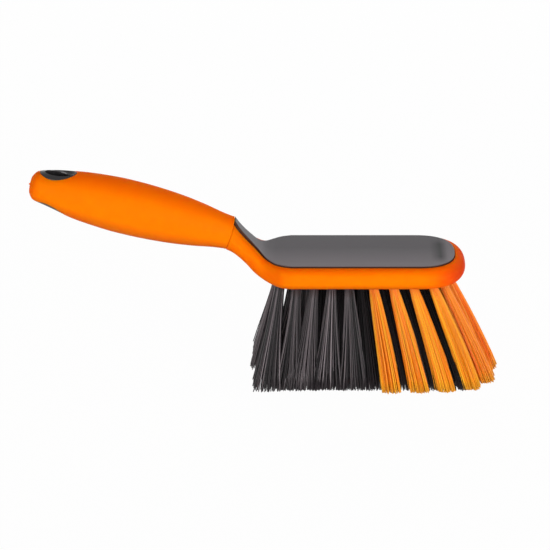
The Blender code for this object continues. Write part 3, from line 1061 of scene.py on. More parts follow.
@dataclass(frozen=True)
class HandleGrip:
    """The orange sleeve moulded over the handle stem."""

    lines: BodyLines
    eye: HangingEye
    node: str = "handle_grip"
    sides: int = 80
    steps: int = 4
    gate_radius: float = 0.5 * MM
    gate_sink: Pair = (0.5 * MM, 1.0 * MM)
    edge_round: float = 0.6 * MM
    edge_steps: int = 4
    seam_gap: float = 0.03 * MM
    dish_half_length: float = 15.0 * MM
    dish_half_width: float = 9.5 * MM
    dish_depths: Pair = (0.6 * MM, 1.7 * MM)

    def dished(self, share: float, ring: Ring, depths: tuple[float, float]) -> Ring:
        """Draw a section in where it crosses the dish above or below the eye.

        Args:
            share: Place of the section along the handle.
            ring: The points of the section.
            depths: How deep the upper and the lower dish are.

        Returns:
            The points, drawn in towards the middle of the section.
        """
        centre, up, _ = self.lines.handle_frame(share)
        along = (share - self.eye.share) * self.lines.handle_length / self.dish_half_length
        upper, lower = depths
        drawn = []
        for point in ring:
            distance = along**2 + (point.y / self.dish_half_width) ** 2
            height = (point - centre).dot(up)
            depth = (upper if height > 0 else lower) * max(0.0, 1 - distance) ** 2
            drawn.append(point + (centre - point).normalized() * depth)
        return drawn

    def outer(self, name: str, offset: float, depths: tuple[float, float]) -> bpy.types.Object:
        """Solid with the outer form of the handle, moved out by the offset, with these dishes.

        Args:
            name: The object's name.
            offset: How far the form is moved out.
            depths: How deep the upper and the lower dish are.

        Returns:
            The closed solid.
        """
        lines = self.lines
        rings = []
        for sink in self.gate_sink:
            rings.append(lines.oval(0, self.gate_radius, self.sides, -sink))
        outline = lines.handle_outline(self.steps)
        for share, radius in outline[:-1]:
            ring = lines.oval(share, radius + offset, self.sides)
            rings.append(self.dished(share, ring, depths))
        end = lines.seam_radius + lines.seam_step + offset
        for sine, cosine in quarter_turn(self.edge_steps):
            inward = self.edge_round * (1 - sine) + self.seam_gap
            drop = self.edge_round * (1 - cosine)
            rings.append(lines.oval(1, end - drop, self.sides, inward))
        return Workshop.loft(name, rings)

    def build(self, core: "CoreMoulding") -> bpy.types.Object:
        """Build the sleeve with the room for the stem and for the collar of the eye.

        Args:
            core: The moulding inside the sleeve.

        Returns:
            The finished piece.
        """
        grip = self.outer("grip", 0.0, self.dish_depths)
        Workshop.change(grip, core.stem_space("stem_space"), Operation.CUT)
        collar_space = self.eye.prism("collar_space", self.eye.collar_gap)
        Workshop.change(grip, collar_space, Operation.CUT)
        Workshop.settle(grip, "handle_grip_skin", self.lines.nose)
        finish = SoftPlastic(name="orange_soft_plastic_look", nose=self.lines.nose)
        grip.data.materials.append(finish.material())
        return grip


@dataclass(frozen=True)
class CoreMoulding:
    """The black core: handle stem, neck with its tongue, top panel and head block."""

    lines: BodyLines
    eye: HangingEye
    node: str = "core_moulding"
    clearance: float = 0.2 * MM
    grip_wall: float = 2.5 * MM
    grip_end_wall: float = 3.0 * MM
    stem_wall: float = 3.0 * MM
    panel_edge_radius: float = 0.6 * MM
    panel_edge_steps: int = 5
    rim_edge_radius: float = 0.5 * MM
    rim_step: float = 0.02 * MM
    flange_reach: float = 2.7 * MM
    flange_half_height: float = 1.5 * MM
    base_overhang: float = 1.5 * MM
    base_recess: float = 0.6 * MM
    overrun: float = 2.0 * MM
    panel_start: float = 0.15 * MM
    first_rib_step: float = 0.3 * MM
    stem_shares: tuple = (0.06, 0.10, 0.16, 0.22, 0.30, 0.38, 0.46, 0.56, 0.66, 0.76, 0.86, 0.94)
    crown_degrees: tuple[int, int] = (90, 71)
    flank_degrees: tuple = (60, 30, -6, -34, -62, -90)
    space_points: int = 12
    hollow_shares: Pair = (0.265, 0.93)
    hollow_rings: int = 9
    hollow_sides: int = 24
    hollow_end_size: float = 0.5
    upright_limit: float = 0.5
    facing_down: float = -0.2

    def edge_points(self, side: float, top: float, space: bool, rib: Rib) -> list[Pair]:
        """Give the outline of the panel's rounded edge, or of the groove beside it.

        Args:
            side: Half width of the panel.
            top: Height of its top.
            space: Whether this is the room in the rim, whose edge is rounded the other way.
            rib: The section that it belongs to.

        Returns:
            Pairs of distance across and height, from the top down.
        """
        if space:
            radius = self.rim_edge_radius
            rim_top = rib.half_height - rib.proud + self.rim_step
            points = [(side + radius, top)]
            for sine, cosine in quarter_turn(self.panel_edge_steps - 1):
                points.append((side + radius * (1 - sine), rim_top - radius * (1 - cosine)))
            return points
        radius = self.panel_edge_radius
        turn = quarter_turn(self.panel_edge_steps)
        return [(side - radius + radius * s, top - radius + radius * c) for s, c in turn]

    def block_half(self, rib: Rib, grow: float, over: float) -> Ring:
        """Give the outline of the core inside the bumper.

        Args:
            rib: The section of the body.
            grow: How far the outline stands out all round.
            over: How far its top stands above the panel.

        Returns:
            The points of the +Y half, from top to bottom.
        """
        side = rib.panel + grow
        flange = rib.panel + self.flange_reach + grow
        shelf = self.flange_half_height + grow
        base_side = rib.panel + self.base_overhang + grow
        base = -rib.half_height - self.lines.base_proud - grow
        base += 0.0 if over > 0 else self.base_recess
        inset = self.grip_wall + self.clearance - grow
        round_width = rib.half_width - inset
        round_height = rib.half_height - inset
        shoulder = round_height * math.sqrt(1 - (side / round_width) ** 2)
        block = [(side, shelf), (flange, shelf), (flange, -shelf), (base_side, -shelf)]
        block.extend([(base_side, base), (0.0, base)])
        stem = [(side, shoulder)]
        for degrees in self.flank_degrees[1:-1]:
            angle = math.radians(degrees)
            stem.append((round_width * math.cos(angle), round_height * math.sin(angle)))
        stem.append((0.0, -round_height))
        top = rib.half_height + over
        half = [rib.place(0.0, top)]
        for across, upward in self.edge_points(side, top, over > 0, rib):
            half.append(rib.place(across, upward))
        for (across, upward), (round_across, round_upward) in zip(block, stem):
            half.append(
                rib.place(
                    round_across + (across - round_across) * rib.blend,
                    round_upward + (upward - round_upward) * rib.blend,
                )
            )
        return half

    def stem_half(self, share: float, grow: float, count: int, beyond: float = 0.0) -> Ring:
        """Round outline of the core inside the grip, from top to bottom on the +Y side.

        Args:
            share: Place along the handle.
            grow: How far the outline stands out.
            count: How many points it has.
            beyond: How far it moves past that place.

        Returns:
            The points of the half outline.
        """
        centre, up, out = self.lines.handle_frame(share)
        inset = self.grip_wall + self.clearance - grow
        height = self.lines.handle_height(share)
        half_height = height - inset
        half_width = height * self.lines.handle_width_share - inset
        first, last = self.crown_degrees
        steps = count - len(self.flank_degrees) - 1
        crown = [first - (first - last) * step / steps for step in range(steps + 1)]
        half = []
        for degree in (*crown, *self.flank_degrees):
            angle = math.radians(degree)
            across = 0.0 if abs(degree) == 90 else half_width * math.cos(angle)
            place = centre - out * beyond + Vector((0, across, 0))
            half.append(place + up * half_height * math.sin(angle))
        return half

    def body(self, name: str, grow: float, over: float, start: float) -> bpy.types.Object:
        """Build the core in one skin.

        Args:
            name: The object's name.
            grow: How far it stands out all round.
            over: How far its top stands above the panel.
            start: Where the panel starts beyond the seam.

        Returns:
            The closed solid.
        """
        ribs = self.lines.ribs()
        ribs[0] = ribs[0].shifted(start + self.first_rib_step)
        blocks = [self.block_half(rib, grow, over) for rib in ribs]
        count = len(blocks[0])
        first = (self.grip_end_wall - grow) / self.lines.handle_length
        halves = [self.stem_half(share, grow, count) for share in (first, *self.stem_shares)]
        halves.append(self.stem_half(1.0, grow, count, start))
        return self.lines.spoon(name, [*halves, *blocks])

    def stem_space(self, name: str) -> bpy.types.Object:
        """Solid with the form of the room that the grip leaves for the stem.

        Args:
            name: The object's name.

        Returns:
            The closed solid.
        """
        count = self.space_points
        grow = self.clearance
        first = (self.grip_end_wall - grow) / self.lines.handle_length
        halves = [self.stem_half(share, grow, count) for share in (first, *self.stem_shares)]
        halves.append(self.stem_half(1.0, grow, count, self.overrun))
        return Workshop.loft(name, [whole_ring(half) for half in halves])

    def hollow(self, name: str) -> bpy.types.Object:
        """Solid with the form of the hollow inside the stem.

        Args:
            name: The object's name.

        Returns:
            The closed solid.
        """
        start, end = self.hollow_shares
        last = self.hollow_rings - 1
        inset = self.grip_wall + self.clearance + self.stem_wall
        rings = []
        for index in range(self.hollow_rings):
            share = start + (end - start) * index / last
            size = self.hollow_end_size if index in (0, last) else 1.0
            half_height = (self.lines.handle_height(share) - inset) * size
            rings.append(self.lines.oval(share, half_height, self.hollow_sides))
        return Workshop.loft(name, rings)

    def dress(self, core: bpy.types.Object) -> None:
        """Give the panel, the collar of the eye and the sides their finishes.

        Args:
            core: The finished moulding.
        """
        nose = self.lines.nose
        panel = PanelPlastic(name="black_panel_look", nose=nose)
        collar = HardPlastic(name="black_eye_look", roughness=(0.14, 0.22), streak_depth=0.01 * MM)
        # The side finish is black with a painted orange bounce from the rim in its colours.
        side = HardPlastic(
            name="black_panel_side_look",
            colour=(0.045, 0.018, 0.010),
            worn_colour=(0.060, 0.026, 0.014),
            specular=0.15,
        )
        for finish in (panel, collar, side):
            core.data.materials.append(finish.material())
        seam = self.lines.ribs()[0].centre.x + nose
        # The upright faces of the head and the downward faces of the handle take the painted orange
        # bounce.
        for polygon in core.data.polygons:
            upright = abs(polygon.normal.z) < self.upright_limit
            if polygon.center.x < seam:
                polygon.material_index = 2 if polygon.normal.z < self.facing_down else 1
            else:
                polygon.material_index = 2 if upright else 0

    def build(self, grip: HandleGrip, tufts: "TuftField") -> bpy.types.Object:
        """Build the core with the collar of the eye, its slot and the holes for the tufts.

        Args:
            grip: The sleeve, whose outer form limits the collar.
            tufts: The tufts, which say where the holes are.

        Returns:
            The finished piece.
        """
        core = self.body("core", 0.0, 0.0, self.panel_start)
        collar = self.eye.prism("collar", 0.0)
        depths = (0.0, grip.dish_depths[1])
        limit = grip.outer("collar_limit", -self.eye.collar_sink, depths)
        Workshop.change(collar, limit, Operation.KEEP_SHARED)
        Workshop.change(core, collar, Operation.ADD)
        Workshop.change(core, self.eye.slot("slot"), Operation.CUT)
        Workshop.change(core, self.hollow("hollow"), Operation.CUT)
        Workshop.change(core, tufts.holes("holes"), Operation.CUT)
        Workshop.settle(core, "core_moulding_shell", self.lines.nose)
        self.dress(core)
        return core


@dataclass(frozen=True)
class HeadBumper:
    """The orange sleeve round the neck that runs on as the rim of the head."""

    lines: BodyLines
    node: str = "head_bumper"
    arc_steps: int = 26
    edge_round: float = 0.5 * MM
    edge_steps: int = 4
    seam_gap: float = 0.02 * MM
    space_start: float = -1.0 * MM

    def half(self, rib: Rib, inset: float = 0.0) -> Ring:
        """Outer outline, flat above and below with a half round side, drawn in by the inset.

        Args:
            rib: The section of the body.
            inset: How far the outline is drawn in.

        Returns:
            The points of the +Y half, from top to bottom.
        """
        radius = rib.half_height - rib.proud / 2
        middle = -rib.proud / 2
        flat = rib.half_width - radius
        size = radius - inset
        half = [rib.place(0.0, middle + size)]
        for step in range(self.arc_steps + 1):
            angle = math.pi * (1 / 2 - step / self.arc_steps)
            half.append(
                rib.place(flat + size * math.cos(angle), middle + size * math.sin(angle))
            )
        half.append(rib.place(0.0, middle - size))
        return half

    def build(self, core: CoreMoulding) -> bpy.types.Object:
        """Build the sleeve and rim with the room for the core.

        Args:
            core: The moulding inside.

        Returns:
            The finished piece.
        """
        ribs = self.lines.ribs()
        halves = []
        for sine, cosine in quarter_turn(self.edge_steps):
            forward = self.seam_gap + self.edge_round * (1 - cosine)
            halves.append(self.half(ribs[0].shifted(forward), self.edge_round * (1 - sine)))
        halves.extend(self.half(rib) for rib in ribs[1:])
        bumper = self.lines.spoon("bumper", halves)
        space = core.body("core_space", core.clearance, core.overrun, self.space_start)
        Workshop.change(bumper, space, Operation.CUT)
        Workshop.settle(bumper, "head_bumper_skin", self.lines.nose)
        finish = SoftPlastic(name="orange_rim_look", nose=self.lines.nose)
        bumper.data.materials.append(finish.material())
        return bumper


@dataclass(frozen=True)
class Tuft:
    """One tuft: the node that it stands for, its row from the middle one, hole and colour.

    An outer tuft shows at the outside of the field. The splay moves its tips along and across
    the head, on top of the fan of the whole field.
    """

    node: str
    row: int
    place: Vector
    colour: FilamentColour
    outer: bool
    splay: Vector


@dataclass(frozen=True)
class TuftMesh:
    """The filaments of one tuft, from the fold in its hole to the trimmed tips."""

    tuft: Tuft
    seed: int
    black_counts: tuple[int, int, int] = (120, 220, 190)
    orange_counts: tuple[int, int, int] = (200, 200, 180)
    bends: int = 8
    hole_radius: float = 2.5 * MM
    black_radius: float = 0.27 * MM
    orange_radius: float = 0.32 * MM
    tip_growth: float = 0.35
    root_depth: float = 5.0 * MM
    anchor_half_length: float = 1.8 * MM
    anchor_half_width: float = 0.4 * MM
    anchor_height: float = 1.2 * MM
    radius_range: Pair = (0.85, 1.15)
    # Painted shade: the tufts inside the field take darker tones.
    painted_shade_tones: Pair = (0.0, 0.6)
    outer_tones: Pair = (0.04, 1.0)
    # Painted light: the orange tufts of the middle rows take these tones.
    painted_light_tones: Pair = (0.1, 1.0)
    tone_power: float = 1.5
    lock_tone_share: float = 0.35
    own_tone_share: float = 0.65
    shade_share: float = 0.34
    shade: float = 0.1
    black_tip_radius: float = 9.3 * MM
    orange_tip_radius: float = 6.2 * MM
    black_side_radii: Triple = (8.0 * MM, 13.0 * MM, 6.4 * MM)
    orange_side_radii: Triple = (9.0 * MM, 7.5 * MM, 6.2 * MM)
    black_side_places: Triple = (0.0, 23.5 * MM, 29.3 * MM)
    orange_side_places: Triple = (0.0, 19.0 * MM, 33.5 * MM)
    tip_squareness: float = 0.85
    nose_squareness: float = 0.4
    nose_start: float = -6.0 * MM
    reach: float = 26.5 * MM
    fall: float = 45.0 * MM
    neutral: float = -45.5 * MM
    lean_power: float = 1.1
    black_flare_powers: Triple = (0.8, 0.8, 1.2)
    rear_flare: float = 0.6
    rear_places: Pair = (-60.0 * MM, -80.0 * MM)
    orange_flare_power: float = 0.75
    locks: int = 26
    lock_reach: float = 0.92
    lock_pull: float = 0.22
    least_pull: float = 0.4
    wander: float = 0.2 * MM
    wave: float = 0.30 * MM
    wave_turn: float = 5.0
    root_share: float = 0.8
    trim: float = 0.12 * MM
    tip_clearance: float = 0.1 * MM
    stray_share: float = 0.05
    stray_reach: float = 0.18
    least_side: float = 0.01
    size_seed: int = 1000

    tone_name = "filament_tone"
    along_name = "filament_along"

    @property
    def is_orange(self) -> bool:
        """Whether the filaments are orange."""
        return self.tuft.colour is FilamentColour.ORANGE

    def spread(self) -> Vector:
        """How far the middle of the tips stands from below the hole.

        Returns:
            The distance along and across the head.
        """
        place = self.tuft.place
        row = abs(self.tuft.row)
        along = self.reach * math.tanh((place.x - self.neutral) / self.fall)
        side = (self.orange_side_places if self.is_orange else self.black_side_places)[row]
        side += self.tuft.splay.y - abs(place.y)
        return Vector((along + self.tuft.splay.x, math.copysign(side, place.y), 0))

    def tip_radius(self) -> tuple[float, float]:
        """Half length and half width of the patch that the tips cover.

        Returns:
            The half length and the half width.
        """
        row = abs(self.tuft.row)
        if self.is_orange:
            return self.orange_tip_radius, self.orange_side_radii[row]
        return self.black_tip_radius, self.black_side_radii[row]

    @staticmethod
    def turned(angle: float, reach: float) -> Vector:
        """Point at this reach from the middle, in the direction of the angle."""
        return Vector((math.cos(angle) * reach, math.sin(angle) * reach, 0))

    def paths(self) -> list[tuple[Ring, float]]:
        """The middle line of each filament, with its tone from 0 to 1.

        Returns:
            Pairs of line and tone.
        """
        draw = random.Random(self.seed)
        tip_radius = self.tip_radius()
        row = abs(self.tuft.row)
        count = (self.orange_counts if self.is_orange else self.black_counts)[row]
        # Tufts inside the field take the painted shade tones.
        low_tone, high_tone = self.outer_tones if self.tuft.outer else self.painted_shade_tones
        # The orange tufts of the middle rows take the painted light tones.
        if self.is_orange and row < 2:
            low_tone, high_tone = self.painted_light_tones
        locks = []
        for _ in range(self.locks):
            angle = draw.uniform(0, 2 * math.pi)
            reach = math.sqrt(draw.random()) * self.lock_reach
            locks.append((self.turned(angle, reach), draw.random()))
        paths = []
        golden = math.pi * (3 - math.sqrt(5))
        for index in range(count):
            reach = math.sqrt((index + 0.5) / count)
            angle = golden * index + self.seed
            unit = self.turned(angle, reach)
            lock, lock_tone = min(locks, key=lambda item: (item[0] - unit).length)
            aim = unit.lerp(lock, self.lock_pull * draw.uniform(self.least_pull, 1.0))
            if draw.random() < self.stray_share:
                aim *= 1 + self.stray_reach * draw.random()
            largest = max(abs(aim.x), abs(aim.y), self.least_side)
            aim *= (aim.length / largest) ** self.squareness()
            aim = Vector((aim.x * tip_radius[0], aim.y * tip_radius[1], 0))
            aim += Vector((draw.gauss(0, 1), draw.gauss(0, 1), 0)) * self.wander
            level = self.lock_tone_share * lock_tone + self.own_tone_share * draw.random()
            if not self.is_orange:
                level = level**self.tone_power
            tone = low_tone + (high_tone - low_tone) * level
            if draw.random() < self.shade_share:
                tone *= self.shade
            paths.append((self.path(draw, unit * self.hole_radius, aim), tone))
        return paths

    def squareness(self) -> float:
        """How square the patch of the tips is, rounder at the nose."""
        at_nose = self.is_orange and self.tuft.place.x > self.nose_start
        return self.nose_squareness if at_nose else self.tip_squareness

    def flare_power(self) -> float:
        """How strongly the filaments stay together near the hole and open near the tips.

        Returns:
            The power, higher for a later flare.
        """
        if self.is_orange:
            return self.orange_flare_power
        start, end = self.rear_places
        rear = min(1.0, max(0.0, (self.tuft.place.x - start) / (end - start)))
        return self.black_flare_powers[abs(self.tuft.row)] + self.rear_flare * rear

    def path(self, draw: random.Random, root: Vector, aim: Vector) -> Ring:
        """Give the middle line of one filament.

        Args:
            draw: The source of its small differences.
            root: Where it leaves the hole, from the middle of the hole.
            aim: Where its tip is, from the middle of the tips.

        Returns:
            The points of the line, from the root to the tip.
        """
        length = self.tuft.place.z - self.trim * draw.random() ** 2 - self.tip_clearance
        phase = draw.uniform(0, 2 * math.pi)
        turn = draw.uniform(0, 2 * math.pi)
        sway = Vector((math.cos(turn), math.sin(turn), 0)) * self.wave * draw.random()
        line = [self.tuft.place + root * self.root_share + Vector((0, 0, self.root_depth))]
        for bend in range(self.bends + 1):
            t = bend / self.bends
            swing = math.sin(phase + self.wave_turn * t)
            place = root.lerp(aim, t ** self.flare_power()) + sway * t * swing
            place += self.spread() * (1 - (1 - t) ** self.lean_power)
            line.append(self.tuft.place + place - Vector((0, 0, length * t)))
        return line

    def add_anchor(self, verts: list, faces: list, shift: float) -> None:
        """Add the anchor bar across the fold of the tuft.

        Args:
            verts: The corners of the mesh, to which the bar's are added.
            faces: The faces of the mesh, to which the bar's are added.
            shift: How far the tuft moves along X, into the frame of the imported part.
        """
        start = len(verts)
        middle = self.tuft.place + Vector((shift, 0, self.root_depth))
        for height in (0.0, self.anchor_height):
            for x, y in ((-1, -1), (1, -1), (1, 1), (-1, 1)):
                corner = Vector((x * self.anchor_half_length, y * self.anchor_half_width, height))
                verts.append(tuple(middle + corner))
        faces.append(tuple(start + index for index in (3, 2, 1, 0)))
        faces.append(tuple(start + index for index in (4, 5, 6, 7)))
        for index in range(4):
            following = (index + 1) % 4
            corners = (index, following, 4 + following, 4 + index)
            faces.append(tuple(start + corner for corner in corners))

    def build(self, name: str, shift: float) -> bpy.types.Object:
        """Build the tuft as one mesh of three-sided filaments with its anchor bar.

        Args:
            name: The object's name.
            shift: How far the tuft moves along X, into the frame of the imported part.

        Returns:
            The finished piece.
        """
        draw = random.Random(self.seed + self.size_seed)
        verts, faces, tones, alongs = [], [], [], []
        for line, tone in self.paths():
            start = len(verts)
            turn = draw.uniform(0, 2 * math.pi)
            radius = self.orange_radius if self.is_orange else self.black_radius
            radius *= draw.uniform(*self.radius_range)
            for index, middle in enumerate(line):
                along = max(0.0, (index - 1) / self.bends)
                reach = radius * (1 + self.tip_growth * along)
                for side in range(3):
                    angle = turn + 2 * math.pi * side / 3
                    verts.append(
                        (
                            middle.x + shift + reach * math.cos(angle),
                            middle.y + reach * math.sin(angle),
                            middle.z,
                        )
                    )
                    tones.append(tone)
                    alongs.append(along)
            for index in range(len(line) - 1):
                low = start + 3 * index
                for side in range(3):
                    following = (side + 1) % 3
                    faces.append((low + side, low + 3 + side, low + 3 + following, low + following))
            last = start + 3 * (len(line) - 1)
            faces.append((start, start + 1, start + 2))
            faces.append((last, last + 2, last + 1))
        filament_faces = len(faces)
        self.add_anchor(verts, faces, shift)
        anchor_corners = len(verts) - len(tones)
        tones.extend([0.0] * anchor_corners)
        alongs.extend([0.0] * anchor_corners)
        mesh = bpy.data.meshes.new(name)
        mesh.from_pydata(verts, [], faces)
        for index, polygon in enumerate(mesh.polygons):
            polygon.use_smooth = index < filament_faces
            polygon.material_index = 0 if index < filament_faces else 1
        for label, values in ((self.tone_name, tones), (self.along_name, alongs)):
            attribute = mesh.attributes.new(label, "FLOAT", "POINT")
            attribute.data.foreach_set("value", values)
        return Workshop.linked(name, mesh)


@dataclass(frozen=True)
class TuftField:
    """The five rows of tufts under the head."""

    lines: BodyLines
    row_pitch: float = 9.95 * MM
    hole_reach: float = 19.9 * MM
    hole_radius: float = 2.7 * MM
    hole_depth: float = 8.2 * MM
    hole_overrun: float = 2.0 * MM
    hole_sides: int = 20
    row_shares: tuple = (
        (-1.100, -0.930, -0.805, -0.678, -0.537, -0.382, -0.222, -0.062, 0.363, 0.938),
        (-1.084, -0.889, -0.748, -0.607, -0.440, -0.279, -0.119, 0.152, 0.753),
        (-0.959, -0.818, -0.677, -0.537, -0.344, -0.184, -0.024, 0.504),
    )
    orange_counts: tuple[int, int, int] = (1, 1, 4)
    rear_ends: int = 2
    rear_splays: tuple = ((9.0 * MM, 0.0), (9.0 * MM, 2.0 * MM), (9.7 * MM, 0.0))
    front_splays: tuple = ((2.5 * MM, 0.0), (4.5 * MM, 0.0), (1.0 * MM, -4.0 * MM))
    seed: int = 41

    def tufts(self) -> list[Tuft]:
        """Every tuft, row by row from the -Y side, each row from the rear.

        Returns:
            The tufts.
        """
        found = []
        for row in range(-2, 3):
            shares = self.row_shares[abs(row)]
            for number, share in enumerate(shares):
                orange = number >= len(shares) - self.orange_counts[abs(row)]
                colour = FilamentColour.ORANGE if orange else FilamentColour.BLACK
                along = share * (self.hole_reach if share > 0 else self.lines.head_straight)
                place = Vector((along, self.row_pitch * row, self.lines.bristle_length))
                front = 2 * number / (len(shares) - 1) - 1
                splays = self.front_splays if front > 0 else self.rear_splays
                splay = Vector((*splays[abs(row)], 0)) * front**4
                name = f"{colour.name.lower()}_tuft_row{row + 3}_{number + 1:02d}"
                outer = orange or abs(row) == 2 or number < self.rear_ends
                found.append(Tuft(name, row, place, colour, outer, splay))
        return found

    def holes(self, name: str) -> bpy.types.Object:
        """One solid of all the tuft holes.

        Args:
            name: The object's name.

        Returns:
            The solid, with a closed part for each hole.
        """
        bm = bmesh.new()
        ring = []
        for index in range(self.hole_sides):
            angle = 2 * math.pi * (index + 1 / 2) / self.hole_sides
            ring.append(Vector((math.cos(angle), math.sin(angle), 0)) * self.hole_radius)
        for tuft in self.tufts():
            rings = []
            for height in (-self.hole_overrun, self.hole_depth):
                rings.append([tuft.place + point + Vector((0, 0, height)) for point in ring])
            Workshop.skin(bm, rings)
        return Workshop.piece(name, bm)

    @staticmethod
    def looks() -> dict[str, bpy.types.Material]:
        """Make the materials of the filaments and of the anchors.

        Returns:
            The materials, by the plain names that build uses.
        """
        black = FilamentFinish(
            name="black_filament_look",
            dark_colour=(0.003, 0.0025, 0.003),
            light_colour=(0.268, 0.229, 0.243),
            tip_colour=(0.064, 0.055, 0.059),
            # Painted shade at the roots, reddened as a painted orange bounce from the rim.
            painted_root_shade_colour=(0.030, 0.006, 0.003),
            roughness=(0.34, 0.50),
        )
        # Painted shade: a darker, less glossy copy of the black filament for the tufts inside the
        # field.
        painted_shade_black = replace(
            black,
            name="black_inner_filament_look",
            light_colour=(0.060, 0.048, 0.054),
            tip_colour=(0.050, 0.040, 0.045),
            specular=0.12,
        )
        orange = FilamentFinish(
            name="orange_filament_look",
            dark_colour=(0.95, 0.235, 0.002),
            light_colour=(1.0, 0.490, 0.014),
            tip_colour=(1.0, 0.510, 0.035),
            # Painted shade at the roots.
            painted_root_shade_colour=(0.9, 0.180, 0.004),
            roughness=(0.34, 0.46),
        )
        # Painted light: a copy of the orange filament with redder dark strands and pinker light
        # ones, for the light through the tufts at the nose.
        painted_light_orange = replace(
            orange,
            name="orange_nose_filament_look",
            dark_colour=(1.0, 0.180, 0.002),
            light_colour=(1.0, 0.450, 0.040),
            tip_colour=(1.0, 0.470, 0.030),
        )
        return {
            "black": black.material(),
            "painted shade black": painted_shade_black.material(),
            "orange": orange.material(),
            "painted light orange": painted_light_orange.material(),
            "steel": Steel().material(),
        }

    def build(self) -> list[tuple[bpy.types.Object, Tuft]]:
        """Build every tuft.

        Returns:
            Each piece with the tuft that it is.
        """
        looks = self.looks()
        made = []
        for index, tuft in enumerate(self.tufts()):
            mesh = TuftMesh(tuft, self.seed + index)
            piece = mesh.build(f"{tuft.node}_filaments", self.lines.nose)
            if mesh.is_orange:
                # The orange tufts of the three middle rows take the painted light copy.
                look = "orange" if abs(tuft.row) == 2 else "painted light orange"
            else:
                # Tufts inside the field take the painted shade copy.
                look = "black" if tuft.outer else "painted shade black"
            for name in (look, "steel"):
                piece.data.materials.append(looks[name])
            made.append((piece, tuft))
        return made


@dataclass(frozen=True)
class Softbox:
    """One square lamp: where it stands, its power in watts, and whether gloss shows it."""

    name: str
    place: Triple
    power: float
    in_gloss: bool = True
    size: float = 1.1


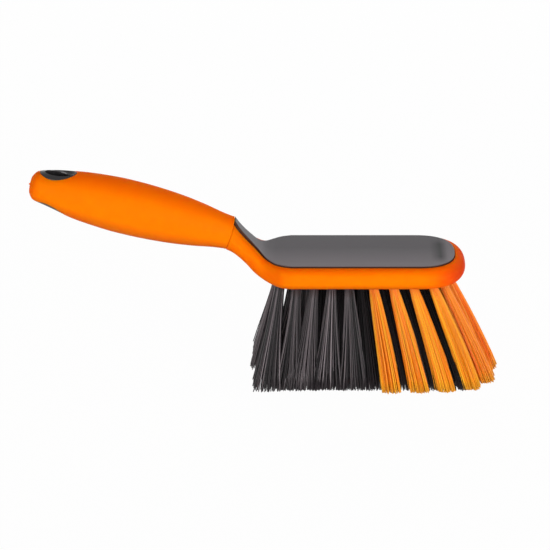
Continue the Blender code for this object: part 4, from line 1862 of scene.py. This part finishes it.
@dataclass(frozen=True)
class Studio:
    """Pale floor, soft lights and the camera."""

    nose: float
    lamps: tuple[Softbox, ...] = (
        Softbox("left_softbox", (-0.9, -1.6, 0.34), 16.0),
        Softbox("right_softbox", (1.2, -1.4, 0.28), 27.0),
        Softbox("back_softbox", (0.1, 1.6, 0.40), 15.0, in_gloss=False),
    )
    lamp_aim: Triple = (0, 0, 70 * MM)
    camera_height: float = math.radians(24.1)
    camera_distance: float = 1.6
    camera_lens: float = 174.7
    camera_sensor: float = 36.0
    target_x: float = -83.6 * MM
    target_z: float = 59.7 * MM
    floor_half: float = 4.0
    floor_colour: Colour = (0.88, 0.88, 0.88)
    white_share: float = 0.97
    world_strength: float = 0.55
    zenith_share: float = 0.50
    dimming: Pair = (0.50, 0.85)

    def floor(self) -> None:
        """Build the floor, white to the camera, with the shadow of the brush on it."""
        bm = bmesh.new()
        size = self.floor_half
        corners = ((-size, -size), (size, -size), (size, size), (-size, size))
        bm.faces.new([bm.verts.new((x, y, 0)) for x, y in corners])
        floor = Workshop.piece("floor", bm)
        material = bpy.data.materials.new("floor_look")
        material.use_nodes = True
        sheet = NodeSheet(material.node_tree)
        material.node_tree.nodes.clear()
        matte = sheet.add("ShaderNodeBsdfDiffuse")
        matte.inputs["Color"].default_value = (*self.floor_colour, 1)
        glow = sheet.add("ShaderNodeEmission", Strength=1.0)
        seen = sheet.rays("Is Camera Ray", "Is Transmission Ray", "Is Glossy Ray")
        blend = sheet.add("ShaderNodeMixShader")
        sheet.join(sheet.work("MULTIPLY", seen, self.white_share), blend.inputs[0])
        sheet.join(matte.outputs[0], blend.inputs[1])
        sheet.join(glow.outputs[0], blend.inputs[2])
        result = sheet.add("ShaderNodeOutputMaterial")
        sheet.join(blend.outputs[0], result.inputs["Surface"])
        floor.data.materials.append(material)

    def world(self) -> None:
        """Set a world that is even round the horizon, dimmer overhead and white to the camera."""
        world = bpy.data.worlds.new("studio_world")
        world.use_nodes = True
        bpy.context.scene.world = world
        sheet = NodeSheet(world.node_tree)
        backdrop = world.node_tree.nodes["Background"]
        backdrop.inputs["Color"].default_value = (1, 1, 1, 1)
        height = sheet.axes("ShaderNodeTexCoord", "Generated")["Z"]
        level = sheet.spread(height, *self.dimming, 1.0, self.zenith_share)
        through = sheet.rays("Is Transmission Ray", "Is Glossy Ray")
        share = sheet.spread(through, 0.0, 1.0, self.world_strength, 1.0)
        strength = sheet.work("MULTIPLY", level, share)
        shown = sheet.work("MAXIMUM", strength, sheet.rays("Is Camera Ray"))
        sheet.join(shown, backdrop.inputs["Strength"])

    def lamp(self, softbox: Softbox) -> None:
        """Add one softbox that faces the brush.

        Args:
            softbox: Its place, size and power.
        """
        light = bpy.data.lights.new(softbox.name, "AREA")
        light.shape = "SQUARE"
        light.size = softbox.size
        light.energy = softbox.power
        item = Workshop.linked(softbox.name, light)
        item.location = softbox.place
        view = Vector(self.lamp_aim) - Vector(softbox.place)
        item.rotation_euler = view.to_track_quat("-Z", "Y").to_euler()
        item.visible_glossy = softbox.in_gloss

    def camera(self) -> None:
        """Add the camera at the angle of the photograph."""
        data = bpy.data.cameras.new("camera")
        data.sensor_fit = "HORIZONTAL"
        data.sensor_width = self.camera_sensor
        data.lens = self.camera_lens
        item = Workshop.linked("camera", data)
        angle = self.camera_height
        target = Vector((self.nose + self.target_x, 0, self.target_z))
        back = Vector((0, -math.cos(angle), math.sin(angle)))
        item.location = target + back * self.camera_distance
        item.rotation_euler = (math.pi / 2 - angle, 0, 0)
        bpy.context.scene.camera = item

    def build(self) -> None:
        """Build the camera, the floor, the world and the lamps."""
        bpy.context.scene.view_settings.view_transform = "Standard"
        self.camera()
        self.floor()
        self.world()
        for softbox in self.lamps:
            self.lamp(softbox)


def dress(piece: bpy.types.Object, node: str) -> None:
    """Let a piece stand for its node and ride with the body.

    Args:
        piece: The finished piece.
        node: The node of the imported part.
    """
    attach(piece, BODY)
    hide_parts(node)
    log.info("%s stands for %s, with %d faces", piece.name, node, len(piece.data.polygons))


def main() -> None:
    """Build the studio, then the pieces in order from the core outwards."""
    logging.basicConfig(level=logging.INFO, format="%(name)s: %(message)s")
    lines = BodyLines(nose=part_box(HeadBumper.node)[1].x - BodyLines.head_half_width)
    eye = HangingEye(lines)
    core = CoreMoulding(lines, eye)
    grip = HandleGrip(lines, eye)
    bumper = HeadBumper(lines)
    tufts = TuftField(lines)
    Studio(lines.nose).build()
    dress(core.build(grip, tufts), core.node)
    dress(grip.build(core), grip.node)
    dress(bumper.build(core), bumper.node)
    for piece, tuft in tufts.build():
        dress(piece, tuft.node)


if __name__ == "__main__":
    main()
